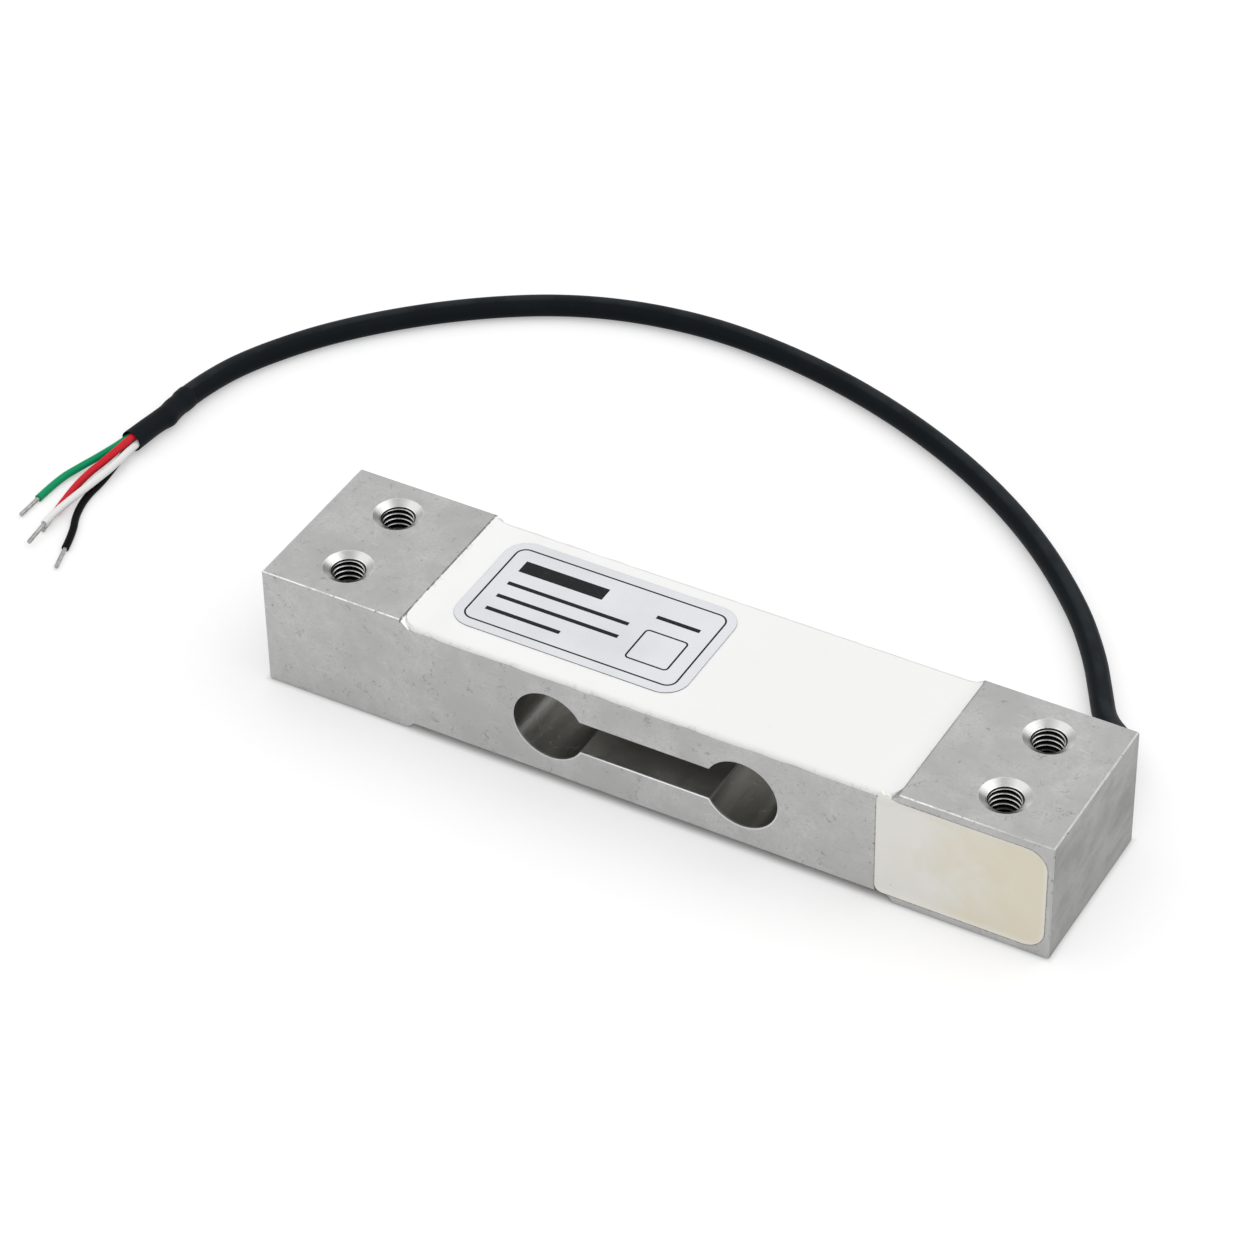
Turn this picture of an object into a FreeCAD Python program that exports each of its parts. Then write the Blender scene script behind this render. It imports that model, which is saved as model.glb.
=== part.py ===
import FreeCAD, Part
import math
import os
import Sketcher

# Single-point weighing load cell: a milled aluminium beam with a dumbbell opening, four foil
# strain gauges under white sealant, a potted compensation board and a short signal cable.
# Origin: bottom centre of the beam. +X runs along the beam towards the cable end, -Y is the
# face with the potted pocket, +Z is up. Millimetres.

Vector = FreeCAD.Vector

SIZES = {
    # Beam blank, end pads and edges
    "beam_length": 137.0,
    "beam_width": 30.0,
    "beam_height": 22.0,
    "pad_length": 25.5,
    "recess_depth": 1.5,
    "edge_break": 0.3,
    # Bolt holes, left plain at the major diameter of an M6 thread
    "bolt_diameter": 6.0,
    "bolt_end_distance": 11.5,
    "bolt_pitch": 15.0,
    "countersink_diameter": 8.2,
    "countersink_depth": 0.65,
    # Dumbbell opening
    "bore_diameter": 12.5,
    "bore_spacing": 33.5,
    "slot_height": 6.0,
    # Pocket for the compensation board
    "pocket_depth": 3.4,
    "pocket_end_wall": 1.0,
    "pocket_corner": 3.5,
    "lead_gate": 2.0,
    "potting_step": 0.05,
    # Sealant over the gauges
    "sealant_thickness": 0.7,
    "sealant_lip": 0.2,
    "sealant_rise": 1.8,
    "sealant_round": 0.45,
    "sealant_blend": 1.2,
    # Label on the top sealant
    "label_length": 41.0,
    "label_width": 22.5,
    "label_thickness": 0.12,
    "label_corner": 4.0,
    "label_end_margin": 3.3,
    "label_front_margin": 4.55,
    # Foil strain gauges
    "backing_length": 9.0,
    "backing_width": 6.0,
    "backing_thickness": 0.1,
    "foil_thickness": 0.06,
    "grid_length": 4.6,
    "grid_pitch": 0.7,
    "grid_line": 0.3,
    "grid_loop": 0.5,
    "grid_pairs": 3,
    "tab_length": 1.8,
    "tab_width": 0.9,
    "solder_cover": 0.02,
    # Gauge leads
    "lead_diameter": 0.3,
    "lead_gap": 0.03,
    "lead_bend": 0.5,
    "lead_spacing": 0.1,
    "lead_front_gap": 0.8,
    "lead_straight": 2.0,
    "lead_run": 5.0,
    "pad_row_pitch": 0.7,
    "pad_row_margin": 0.6,
    "pad_row_inset": 1.2,
    # Compensation board and its resistors
    "board_thickness": 0.8,
    "board_margin": 0.8,
    "board_left_gap": 4.0,
    "board_right_gap": 1.8,
    "notch_width": 5.6,
    "resistor_inset": 6.0,
    "resistor_pitch": 3.0,
    "resistor_length": 4.2,
    "resistor_diameter": 1.4,
    "resistor_cap": 0.8,
    "resistor_waist": 1.1,
    # Cable, bore and seal
    "cable_diameter": 3.9,
    "cable_clearance": 0.15,
    "cable_end_distance": 5.3,
    "cable_height": 6.8,
    "cable_stop": 1.0,
    "seal_diameter": 6.6,
    "seal_depth": 2.0,
    # Cores, wires and shrink sleeve
    "core_diameter": 1.3,
    "core_gap": 0.1,
    "core_bend": 0.75,
    "core_reach": 2.0,
    "core_landing": 1.0,
    "tin_diameter": 0.76,
    "tin_length": 5.0,
    "sleeve_length": 15.5,
    "sleeve_overlap": 2.0,
    "sleeve_wall": 0.15,
    "sleeve_slack": 0.1,
    "sleeve_edge": 0.1,
    "wire_exit": 1.0,
}

# Route of the free cable after its exit, chosen by hand; it drops to the floor behind the beam.
CABLE_ROUTE = [
    (63.2, 20.65, 6.8),
    (61.94, 26.07, 5.78),
    (59.11, 31.39, 3.72),
    (54.22, 36.02, 2.14),
    (50.77, 42.03, 1.97),
    (46.1, 49.9, 1.97),
    (38.4, 59.9, 1.97),
    (24.8, 72.9, 1.97),
    (8.2, 84.1, 1.97),
    (-11.0, 92.8, 1.97),
    (-31.2, 98.3, 1.97),
    (-52.3, 100.0, 1.97),
    (-73.4, 95.4, 1.97),
    (-91.6, 84.1, 1.97),
    (-107.0, 69.0, 1.97),
    (-116.3, 54.0, 1.99),
    (-119.42, 43.0, 2.22),
    (-119.89, 37.48, 2.26),
]

# Wire routes beyond the mouth of the sleeve, and each wire's place in the bundle in degrees.
WIRES = {
    "green": {
        "angle": 170.0,
        "route": [(-124.2, 19.0, 1.55), (-125.8, 15.3, 1.1), (-127.3, 11.3, 0.75), (-127.42, 5.4, 0.67)],
    },
    "red": {
        "angle": 80.0,
        "route": [(-122.2, 17.7, 2.15), (-123.2, 14.4, 1.5), (-123.55, 9.7, 0.9), (-122.66, 3.65, 0.68)],
    },
    "black": {
        "angle": 260.0,
        "route": [
            (-120.5, 14.6, 0.68),
            (-120.6, 9.6, 0.67),
            (-119.3, 4.6, 0.67),
            (-117.1, 0.6, 0.67),
            (-115.8, -3.6, 0.67),
        ],
    },
    "white": {
        "angle": 350.0,
        "route": [
            (-120.0, 17.6, 2.25),
            (-120.5, 12.4, 2.2),
            (-121.35, 6.0, 2.1),
            (-121.9, 1.0, 1.8),
            (-121.8, -0.8, 1.68),
        ],
    },
}

# Share of the shorter run at a corner of a route that its arc may take up
CORNER_SHARE = 0.45

# Expressions shared by several sub-parts
BEAM_END = "(sizes.beam_length / 2)"
FRONT = "(sizes.beam_width / 2)"
PAD_EDGE = "(sizes.beam_length / 2 - sizes.pad_length)"
FLOOR_EDGE = f"({PAD_EDGE} - sizes.recess_depth)"
TOP_FLOOR = "(sizes.beam_height - sizes.recess_depth)"
MIDDLE = "(sizes.beam_height / 2)"
BORE_X = "(sizes.bore_spacing / 2)"
POCKET_RIGHT = "(sizes.beam_length / 2 - sizes.pocket_end_wall)"
POCKET_LEFT = f"({FLOOR_EDGE} - sizes.lead_gate)"
POCKET_FLOOR = "(sizes.beam_width / 2 - sizes.pocket_depth)"
BOARD_FACE = f"({POCKET_FLOOR} + sizes.board_thickness)"
BOARD_LEFT = f"({POCKET_LEFT} + sizes.board_left_gap)"
BOARD_RIGHT = f"({POCKET_RIGHT} - sizes.board_right_gap)"
BOARD_LOW = "(sizes.recess_depth + sizes.board_margin)"
BOARD_HIGH = f"({TOP_FLOOR} - sizes.board_margin)"
CABLE_X = "(sizes.beam_length / 2 - sizes.cable_end_distance)"
BORE_CLEAR = "(sizes.cable_diameter + 2 * sizes.cable_clearance)"
CORE_INNER_END = f"({POCKET_FLOOR} - sizes.cable_stop)"
CORE_STEP = "((sizes.core_diameter + sizes.core_gap) / 2)"
GRID_HALF = "(sizes.grid_length / 2)"
OUTER_LINE = "((2 * sizes.grid_pairs - 1) * sizes.grid_pitch / 2)"
LEAD_HEIGHT = "(sizes.backing_thickness + sizes.lead_gap + sizes.lead_diameter / 2)"
TAB_HEIGHT = f"({LEAD_HEIGHT} + sizes.lead_diameter / 2 + sizes.solder_cover)"
SEALANT_TOP = f"({TOP_FLOOR} + sizes.sealant_thickness)"
SEALANT_LIP = f"({PAD_EDGE} - sizes.sealant_lip)"
SEALANT_KNEE = f"({SEALANT_LIP} - sizes.sealant_rise)"

doc = FreeCAD.newDocument("load_cell")
sheet = doc.addObject("Spreadsheet::Sheet", "sizes")
nodes = []


def fill_sheet():
    """Write every driving dimension to its own named cell."""
    for row, (alias, value) in enumerate(SIZES.items(), start=1):
        sheet.set(f"A{row}", alias)
        sheet.set(f"B{row}", str(value))
        sheet.setAlias(f"B{row}", alias)
    doc.recompute()


def number(expression):
    """Value of an expression on the sheet's cells."""
    return float(sheet.evalExpression(expression))


def bind(feature, **expressions):
    """Bind properties of a feature to expressions on the sheet."""
    for name, expression in expressions.items():
        feature.setExpression(name.replace("__", "."), expression)


def keep(feature, label):
    """Give a finished sub-part the label that names its file."""
    feature.Label = label
    nodes.append(feature)
    return feature


def origin_feature(body, role):
    """Origin plane or axis of a body."""
    return next(item for item in body.Origin.OriginFeatures if item.Role == role)


def new_sketch(body, name, role, offset=None):
    """Sketch on an origin plane of its body, moved along the plane's normal by an expression."""
    sketch = body.newObject("Sketcher::SketchObject", name)
    sketch.AttachmentSupport = [(origin_feature(body, role), "")]
    sketch.MapMode = "FlatFace"
    if offset is not None:
        bind(sketch, AttachmentOffset__Base__z=offset)
    return sketch


def place_point(sketch, geometry, position, x, y):
    """Hold one point of a sketch at a pair of expressions measured from the sketch's origin."""
    for kind, expression in (("DistanceX", x), ("DistanceY", y)):
        value = number(expression)
        index = sketch.addConstraint(Sketcher.Constraint(kind, -1, 1, geometry, position, value))
        sketch.setExpression(f"Constraints[{index}]", expression)


def draw_outline(sketch, corners):
    """Closed straight-sided outline through corners, each a pair of expressions."""
    first = sketch.GeometryCount
    points = [Vector(number(x), number(y), 0) for x, y in corners]
    for start, end in zip(points, points[1:] + points[:1]):
        sketch.addGeometry(Part.LineSegment(start, end), False)
    for step in range(len(points)):
        following = first + (step + 1) % len(points)
        sketch.addConstraint(Sketcher.Constraint("Coincident", first + step, 2, following, 1))
    for step, (x, y) in enumerate(corners):
        place_point(sketch, first + step, 1, x, y)


def draw_rectangle(sketch, left, low, right, high):
    """Rectangle between two corners given as expressions."""
    draw_outline(sketch, [(left, low), (right, low), (right, high), (left, high)])


def draw_circle(sketch, x, y, diameter):
    """Circle with its centre and diameter given as expressions."""
    centre = Vector(number(x), number(y), 0)
    circle = sketch.addGeometry(Part.Circle(centre, Vector(0, 0, 1), number(diameter) / 2), False)
    place_point(sketch, circle, 3, x, y)
    index = sketch.addConstraint(Sketcher.Constraint("Diameter", circle, number(diameter)))
    sketch.setExpression(f"Constraints[{index}]", diameter)


def add_pad(body, name, sketch, length, symmetric=False, backwards=False):
    """Pad of a sketch by a length given as an expression."""
    pad = body.newObject("PartDesign::Pad", name)
    pad.Profile = sketch
    pad.SideType = "Symmetric" if symmetric else "One side"
    pad.Reversed = backwards
    bind(pad, Length=length)
    doc.recompute()
    return pad


def add_pocket(body, name, sketch, length=None, backwards=False):
    """Pocket of a sketch: through both ways, or to a depth given as an expression."""
    before = body.Shape.Volume
    pocket = body.newObject("PartDesign::Pocket", name)
    pocket.Profile = sketch
    pocket.Reversed = backwards
    if length is None:
        pocket.Type = "ThroughAll"
        pocket.SideType = "Symmetric"
    else:
        bind(pocket, Length=length)
    doc.recompute()
    if pocket.Shape.Volume >= before:
        raise RuntimeError(f"{name} cut nothing")
    return pocket


def add_pattern(body, name, feature, sketch, axis, length, copies):
    """Row of copies of a feature along an axis of its sketch."""
    pattern = body.newObject("PartDesign::LinearPattern", name)
    pattern.Originals = [feature]
    pattern.Direction = (sketch, [axis])
    bind(pattern, Length=length, Occurrences=copies)
    body.Tip = pattern
    doc.recompute()
    return pattern


def edges_where(shape, test):
    """Names of the edges whose two ends both pass a test."""
    names = []
    for index, edge in enumerate(shape.Edges, start=1):
        ends = [vertex.Point for vertex in edge.Vertexes]
        if len(ends) == 2 and test(*ends):
            names.append(f"Edge{index}")
    return names


def same(first, second):
    """True where two lengths agree to a micrometre."""
    return abs(first - second) < 1e-3


def dress_edges(body, kind, name, base, edges, size):
    """Fillet or chamfer on named edges, sized by an expression."""
    if not edges:
        raise RuntimeError(f"{name} found no edge")
    feature = body.newObject(f"PartDesign::{kind}", name)
    feature.Base = (base, edges)
    bind(feature, **{"Radius" if kind == "Fillet" else "Size": size})
    doc.recompute()
    return feature


def unit(vector):
    """Vector of length one along another."""
    return Vector(vector).normalize()


def rounded_path(points, radius=None):
    """Straight runs joined by tangent arcs; without a radius each arc is as large as its runs allow."""
    edges = []
    radii = []
    start = points[0]
    for before, corner, after in zip(points, points[1:], points[2:]):
        run_in = corner - before
        run_out = after - corner
        half_turn = run_in.getAngle(run_out) / 2
        largest = CORNER_SHARE * min(run_in.Length, run_out.Length) / math.tan(half_turn)
        bend = largest if radius is None else min(radius, largest)
        setback = bend * math.tan(half_turn)
        arc_start = corner - unit(run_in) * setback
        arc_end = corner + unit(run_out) * setback
        inward = unit(unit(run_out) - unit(run_in))
        arc_middle = corner + inward * (bend / math.cos(half_turn) - bend)
        edges.append(Part.LineSegment(start, arc_start).toShape())
        edges.append(Part.Arc(arc_start, arc_middle, arc_end).toShape())
        radii.append(bend)
        start = arc_end
    edges.append(Part.LineSegment(start, points[-1]).toShape())
    return Part.Wire(edges), radii


def tube(points, diameter, radius=None, label=None):
    """Round solid along a rounded path, its volume compared with section times length."""
    path, radii = rounded_path(points, radius)
    section = Part.Wire(Part.makeCircle(diameter / 2, points[0], points[1] - points[0]))
    solid = path.makePipeShell([section], True, False)
    expected = math.pi * diameter ** 2 / 4 * path.Length
    if abs(solid.Volume - expected) > 0.01 * expected:
        raise RuntimeError(f"tube volume {solid.Volume:.2f} is not {expected:.2f}")
    if label is not None:
        print(label, "length", round(path.Length, 2), "radii", [round(bend, 1) for bend in radii])
    return solid


def add_shape(label, shape):
    """Sub-part whose shape is worked out along a path."""
    feature = doc.addObject("Part::Feature", label)
    feature.Shape = shape
    feature.Placement = FreeCAD.Placement()
    return keep(feature, label)


def cut_away(label, base, tools):
    """Filling with the pieces that it covers taken out of it."""
    covered = doc.addObject("Part::MultiFuse", f"{label}_covered")
    covered.Shapes = tools
    filling = doc.addObject("Part::Cut", label)
    filling.Base = base
    filling.Tool = covered
    return keep(filling, label)


def build_beam():
    """Milled beam: pads, recesses, dumbbell opening, board pocket, bolt holes and cable bore."""
    body = doc.addObject("PartDesign::Body", "load_cell_beam")
    profile = new_sketch(body, "side_profile", "XZ_Plane")
    lower = [
        (f"-{BEAM_END}", "0"),
        (f"-{PAD_EDGE}", "0"),
        (f"-{FLOOR_EDGE}", "sizes.recess_depth"),
        (FLOOR_EDGE, "sizes.recess_depth"),
        (PAD_EDGE, "0"),
        (BEAM_END, "0"),
    ]
    upper = [(x, f"sizes.beam_height - {z}") for x, z in reversed(lower)]
    draw_outline(profile, lower + upper)
    add_pad(body, "blank", profile, "sizes.beam_width", symmetric=True)

    slot = new_sketch(body, "slot_outline", "XZ_Plane")
    half_slot = "sizes.slot_height / 2"
    draw_rectangle(slot, f"-{BORE_X}", f"{MIDDLE} - {half_slot}", BORE_X, f"{MIDDLE} + {half_slot}")
    add_pocket(body, "slot", slot)
    bores = new_sketch(body, "bore_circles", "XZ_Plane")
    for x in (f"-{BORE_X}", BORE_X):
        draw_circle(bores, x, MIDDLE, "sizes.bore_diameter")
    add_pocket(body, "flexure_bores", bores)

    pocket_outline = new_sketch(body, "pocket_outline", "XZ_Plane", FRONT)
    draw_rectangle(pocket_outline, POCKET_LEFT, "sizes.recess_depth", POCKET_RIGHT, TOP_FLOOR)
    pocket = add_pocket(body, "board_pocket", pocket_outline, "sizes.pocket_depth")
    right = number(POCKET_RIGHT)
    corners = edges_where(
        pocket.Shape,
        lambda a, b: same(a.x, right) and same(b.x, right) and same(a.z, b.z),
    )
    dress_edges(body, "Fillet", "pocket_corners", pocket, corners, "sizes.pocket_corner")

    seal_circle = new_sketch(body, "seal_circle", "XZ_Plane", f"-{FRONT}")
    draw_circle(seal_circle, CABLE_X, "sizes.cable_height", "sizes.seal_diameter")
    add_pocket(body, "seal_seat", seal_circle, "sizes.seal_depth", backwards=True)
    bore_circle = new_sketch(body, "cable_bore_circle", "XZ_Plane", f"-{FRONT}")
    draw_circle(bore_circle, CABLE_X, "sizes.cable_height", BORE_CLEAR)
    bore_depth = "sizes.beam_width - sizes.pocket_depth"
    add_pocket(body, "cable_bore", bore_circle, bore_depth, backwards=True)

    bolt_circle = new_sketch(body, "bolt_circle", "XY_Plane", "sizes.beam_height")
    bolt_x = "(sizes.beam_length / 2 - sizes.bolt_end_distance)"
    draw_circle(bolt_circle, f"-{bolt_x}", "-sizes.bolt_pitch / 2", "sizes.bolt_diameter")
    doc.recompute()
    relief = "((sizes.countersink_diameter - sizes.bolt_diameter) / 2)"
    hole = body.newObject("PartDesign::Hole", "bolt_hole")
    hole.Profile = bolt_circle
    doc.recompute()
    hole.DepthType = "ThroughAll"
    hole.HoleCutType = "Countersink"
    bind(
        hole,
        Diameter="sizes.bolt_diameter",
        HoleCutDiameter="sizes.countersink_diameter",
        HoleCutCountersinkAngle=f"2 * atan({relief} / sizes.countersink_depth)",
    )
    doc.recompute()
    holes = body.newObject("PartDesign::LinearPattern", "bolt_holes")
    holes.Originals = [hole]
    holes.Direction = (bolt_circle, ["H_Axis"])
    holes.Direction2 = (bolt_circle, ["V_Axis"])
    holes.Occurrences = 2
    holes.Occurrences2 = 2
    bind(holes, Length=f"2 * {bolt_x}", Length2="sizes.bolt_pitch")
    body.Tip = holes
    doc.recompute()

    rims = [
        f"Edge{index}"
        for index, edge in enumerate(holes.Shape.Edges, start=1)
        if isinstance(edge.Curve, Part.Circle)
        and same(edge.BoundBox.ZMax, 0)
        and same(edge.Curve.Radius, number("sizes.bolt_diameter / 2"))
    ]
    lower_rims = dress_edges(body, "Chamfer", "lower_countersinks", holes, rims, relief)
    lower_rims.ChamferType = "Two distances"
    bind(lower_rims, Size2="sizes.countersink_depth")
    doc.recompute()

    end = number(BEAM_END)
    front = number(FRONT)
    height = number("sizes.beam_height")

    def on_pad_outline(a, b):
        """True for the outer edges of the pads and the upright corners of the beam."""
        level = same(a.z, b.z) and (same(a.z, 0) or same(a.z, height))
        along = same(abs(a.y), front) and same(a.y, b.y)
        across = same(abs(a.x), end) and same(a.x, b.x)
        upright = same(abs(a.x), end) and same(abs(a.y), front) and same(a.x, b.x) and same(a.y, b.y)
        return (level and (along or across)) or upright

    outline = edges_where(lower_rims.Shape, on_pad_outline)
    dress_edges(body, "Chamfer", "broken_edges", lower_rims, outline, "sizes.edge_break")
    return keep(body, "load_cell_beam")


def build_gauge(level, side):
    """Foil strain gauge: film backing, meander grid in relief and two soldered tabs."""
    name = f"strain_gauge_{level}_{side}"
    body = doc.addObject("PartDesign::Body", name)
    backing = new_sketch(body, f"{name}_backing", "XY_Plane")
    half_length = "sizes.backing_length / 2"
    half_width = "sizes.backing_width / 2"
    draw_rectangle(backing, f"-{half_length}", f"-{half_width}", half_length, half_width)
    add_pad(body, f"{name}_film", backing, "sizes.backing_thickness")

    half_line = "sizes.grid_line / 2"
    pairs = "round(sizes.grid_pairs)"
    pitch = "sizes.grid_pitch"
    first_line = f"-{OUTER_LINE}"
    rows = (
        ("line", f"-{GRID_HALF}", GRID_HALF, 0, 0, f"{pitch} * (2 * {pairs} - 1)", f"2 * {pairs}"),
        ("left_loop", f"-{GRID_HALF} - sizes.grid_loop", f"-{GRID_HALF}", 0, 1,
         f"2 * {pitch} * ({pairs} - 1)", pairs),
        ("right_loop", GRID_HALF, f"{GRID_HALF} + sizes.grid_loop", 1, 2,
         f"2 * {pitch} * ({pairs} - 2)", f"{pairs} - 1"),
    )
    for row, left, right, low_line, high_line, span, copies in rows:
        sketch = new_sketch(body, f"{name}_{row}_outline", "XY_Plane", "sizes.backing_thickness")
        low = f"{first_line} + {low_line} * {pitch} - {half_line}"
        high = f"{first_line} + {high_line} * {pitch} + {half_line}"
        draw_rectangle(sketch, left, low, right, high)
        foil = add_pad(body, f"{name}_{row}", sketch, "sizes.foil_thickness")
        add_pattern(body, f"{name}_{row}s", foil, sketch, "V_Axis", span, copies)

    tabs = new_sketch(body, f"{name}_tab_outline", "XY_Plane", "sizes.backing_thickness")
    half_tab = "sizes.tab_width / 2"
    for line in (first_line, OUTER_LINE):
        tab_end = f"{GRID_HALF} + sizes.tab_length"
        draw_rectangle(tabs, GRID_HALF, f"{line} - {half_tab}", tab_end, f"{line} + {half_tab}")
    add_pad(body, f"{name}_tabs", tabs, f"{TAB_HEIGHT} - sizes.backing_thickness")

    upside_down = level == "bottom"
    turn = FreeCAD.Rotation(Vector(1, 0, 0), 180 if upside_down else 0)
    body.Placement = FreeCAD.Placement(Vector(0, 0, 0), turn)
    bind(
        body,
        Placement__Base__x=BORE_X if side == "right" else f"-{BORE_X}",
        Placement__Base__z="sizes.recess_depth" if upside_down else TOP_FLOOR,
    )
    doc.recompute()
    return keep(body, name)


def build_leads(level, side):
    """Two insulated leads from a gauge's tabs along the recess, down to the board in the pocket."""
    upside_down = level == "bottom"
    sign = -1 if upside_down else 1
    floor = number("sizes.recess_depth" if upside_down else TOP_FLOOR)
    height = floor + sign * number(LEAD_HEIGHT)
    gauge_x = number(BORE_X) * (1 if side == "right" else -1)
    tab_end = gauge_x + number(f"{GRID_HALF} + sizes.tab_length")
    corner_x = number(f"({POCKET_LEFT} + {FLOOR_EDGE}) / 2")
    pad_x = number(f"{BOARD_LEFT} + sizes.pad_row_inset")
    board_y = -number(BOARD_FACE)
    bend_start = tab_end + number("sizes.lead_straight")
    lane_start = corner_x - number("sizes.lead_run")
    lane_pitch = number("sizes.lead_diameter + sizes.lead_spacing")
    first_lane = 0 if side == "left" else 2
    leads = []
    for step, line in enumerate((-1, 1)):
        lane = first_lane + step
        lane_y = -number(FRONT) + number("sizes.lead_front_gap") + lane * lane_pitch
        tab_y = line * number(OUTER_LINE)
        board_edge = number(BOARD_LOW if upside_down else BOARD_HIGH)
        inset = number("sizes.pad_row_margin") + lane * number("sizes.pad_row_pitch")
        pad_z = board_edge - sign * inset
        points = [
            Vector(tab_end, tab_y, height),
            Vector(bend_start, tab_y, height),
            Vector(lane_start, lane_y, height),
            Vector(corner_x, lane_y, height),
            Vector(corner_x, lane_y, pad_z),
            Vector(pad_x, lane_y, pad_z),
            Vector(pad_x, board_y, pad_z),
        ]
        leads.append(tube(points, number("sizes.lead_diameter"), number("sizes.lead_bend")))
    return add_shape(f"gauge_leads_{level}_{side}", Part.Compound(leads))


def build_board():
    """Compensation board on the pocket floor, notched round the cable bore."""
    body = doc.addObject("PartDesign::Body", "compensation_board")
    outline = new_sketch(body, "board_outline", "XZ_Plane", POCKET_FLOOR)
    notch_low = "(sizes.cable_height - sizes.notch_width / 2)"
    notch_high = "(sizes.cable_height + sizes.notch_width / 2)"
    notch_left = f"({CABLE_X} - sizes.notch_width / 2)"
    draw_outline(outline, [
        (BOARD_LEFT, BOARD_LOW),
        (BOARD_RIGHT, BOARD_LOW),
        (BOARD_RIGHT, notch_low),
        (notch_left, notch_low),
        (notch_left, notch_high),
        (BOARD_RIGHT, notch_high),
        (BOARD_RIGHT, BOARD_HIGH),
        (BOARD_LEFT, BOARD_HIGH),
    ])
    add_pad(body, "board_sheet", outline, "sizes.board_thickness")
    return keep(body, "compensation_board")


def build_resistor(name, place):
    """Wire-wound trimming resistor: a bobbin with two square end caps that sit on the board."""
    body = doc.addObject("PartDesign::Body", name)
    half = "sizes.resistor_length / 2"
    radius = "sizes.resistor_diameter / 2"
    core = new_sketch(body, f"{name}_core_circle", "XY_Plane", f"-{half}")
    draw_circle(core, "0", f"-{radius}", "sizes.resistor_waist")
    add_pad(body, f"{name}_core", core, "sizes.resistor_length")
    caps = new_sketch(body, f"{name}_cap_outlines", "XZ_Plane")
    for start in (f"-{half}", f"{half} - sizes.resistor_cap"):
        draw_rectangle(caps, f"-{radius}", start, radius, f"{start} + sizes.resistor_cap")
    add_pad(body, f"{name}_caps", caps, "sizes.resistor_diameter")
    bind(
        body,
        Placement__Base__x=f"{BOARD_LEFT} + sizes.resistor_inset + {place} * sizes.resistor_pitch",
        Placement__Base__y=f"-{BOARD_FACE}",
        Placement__Base__z=MIDDLE,
    )
    doc.recompute()
    return keep(body, name)


def build_core(colour, step_x, step_z):
    """Cable core inside the pocket: out of the bore, over the notch and down onto the board."""
    x = number(CABLE_X) + step_x * number(CORE_STEP)
    z = number("sizes.cable_height") + step_z * number(CORE_STEP)
    notch_edge = number("sizes.cable_height") + step_z * number("sizes.notch_width / 2")
    landing_z = notch_edge + step_z * number("sizes.core_landing")
    crest_y = -number(f"{POCKET_FLOOR} + sizes.core_reach")
    points = [
        Vector(x, -number(CORE_INNER_END), z),
        Vector(x, crest_y, z),
        Vector(x, crest_y, landing_z),
        Vector(x, -number(BOARD_FACE), landing_z),
    ]
    shape = tube(points, number("sizes.core_diameter"), number("sizes.core_bend"))
    return add_shape(f"cable_core_{colour}", shape)


def build_potting(covered):
    """Potting resin that fills the board pocket level with the front face."""
    body = doc.addObject("PartDesign::Body", "potting_block")
    outline = new_sketch(body, "potting_outline", "XZ_Plane", POCKET_FLOOR)
    draw_rectangle(outline, POCKET_LEFT, "sizes.recess_depth", POCKET_RIGHT, TOP_FLOOR)
    block = add_pad(body, "potting_fill", outline, "sizes.pocket_depth - sizes.potting_step")
    right = number(POCKET_RIGHT)
    corners = edges_where(
        block.Shape,
        lambda a, b: same(a.x, right) and same(b.x, right) and same(a.z, b.z),
    )
    dress_edges(body, "Fillet", "potting_corners", block, corners, "sizes.pocket_corner")
    return cut_away("side_potting", body, covered)


def build_sealant(level, covered):
    """White sealant in a recess, drawn up the slopes of the pads and rounded along both sides."""
    body = doc.addObject("PartDesign::Body", f"{level}_sealant_fill")
    profile = new_sketch(body, f"{level}_sealant_profile", "XZ_Plane")
    lip_height = "(sizes.beam_height - sizes.sealant_lip)"
    half = [(FLOOR_EDGE, TOP_FLOOR), (SEALANT_LIP, lip_height), (SEALANT_KNEE, SEALANT_TOP)]
    corners = half + [(f"-{x}", z) for x, z in reversed(half)]
    if level == "bottom":
        corners = [(x, f"sizes.beam_height - {z}") for x, z in reversed(corners)]
    draw_outline(profile, corners)
    fill = add_pad(body, f"{level}_sealant_layer", profile, "sizes.beam_width", symmetric=True)

    surface = number(SEALANT_TOP if level == "top" else f"sizes.beam_height - {SEALANT_TOP}")
    knee = number(SEALANT_KNEE)
    knees = edges_where(
        fill.Shape,
        lambda a, b: same(a.z, surface) and same(b.z, surface) and same(abs(a.x), knee) and same(a.x, b.x),
    )
    blended = dress_edges(body, "Fillet", f"{level}_sealant_meniscus", fill, knees, "sizes.sealant_blend")
    front = number(FRONT)
    sides = edges_where(
        blended.Shape,
        lambda a, b: same(a.z, surface) and same(b.z, surface) and same(abs(a.y), front) and same(a.y, b.y),
    )
    dress_edges(body, "Fillet", f"{level}_sealant_sides", blended, sides, "sizes.sealant_round")
    return cut_away(f"{level}_sealant", body, covered)


def build_label():
    """Thin film label with rounded corners on the top sealant."""
    body = doc.addObject("PartDesign::Body", "blank_label")
    outline = new_sketch(body, "label_outline", "XY_Plane", SEALANT_TOP)
    left = f"(sizes.label_end_margin - {SEALANT_KNEE})"
    low = f"(sizes.label_front_margin - {FRONT})"
    draw_rectangle(outline, left, low, f"{left} + sizes.label_length", f"{low} + sizes.label_width")
    film = add_pad(body, "label_film", outline, "sizes.label_thickness")
    corners = edges_where(film.Shape, lambda a, b: same(a.x, b.x) and same(a.y, b.y))
    dress_edges(body, "Fillet", "label_corners", film, corners, "sizes.label_corner")
    return keep(body, "blank_label")


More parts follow.
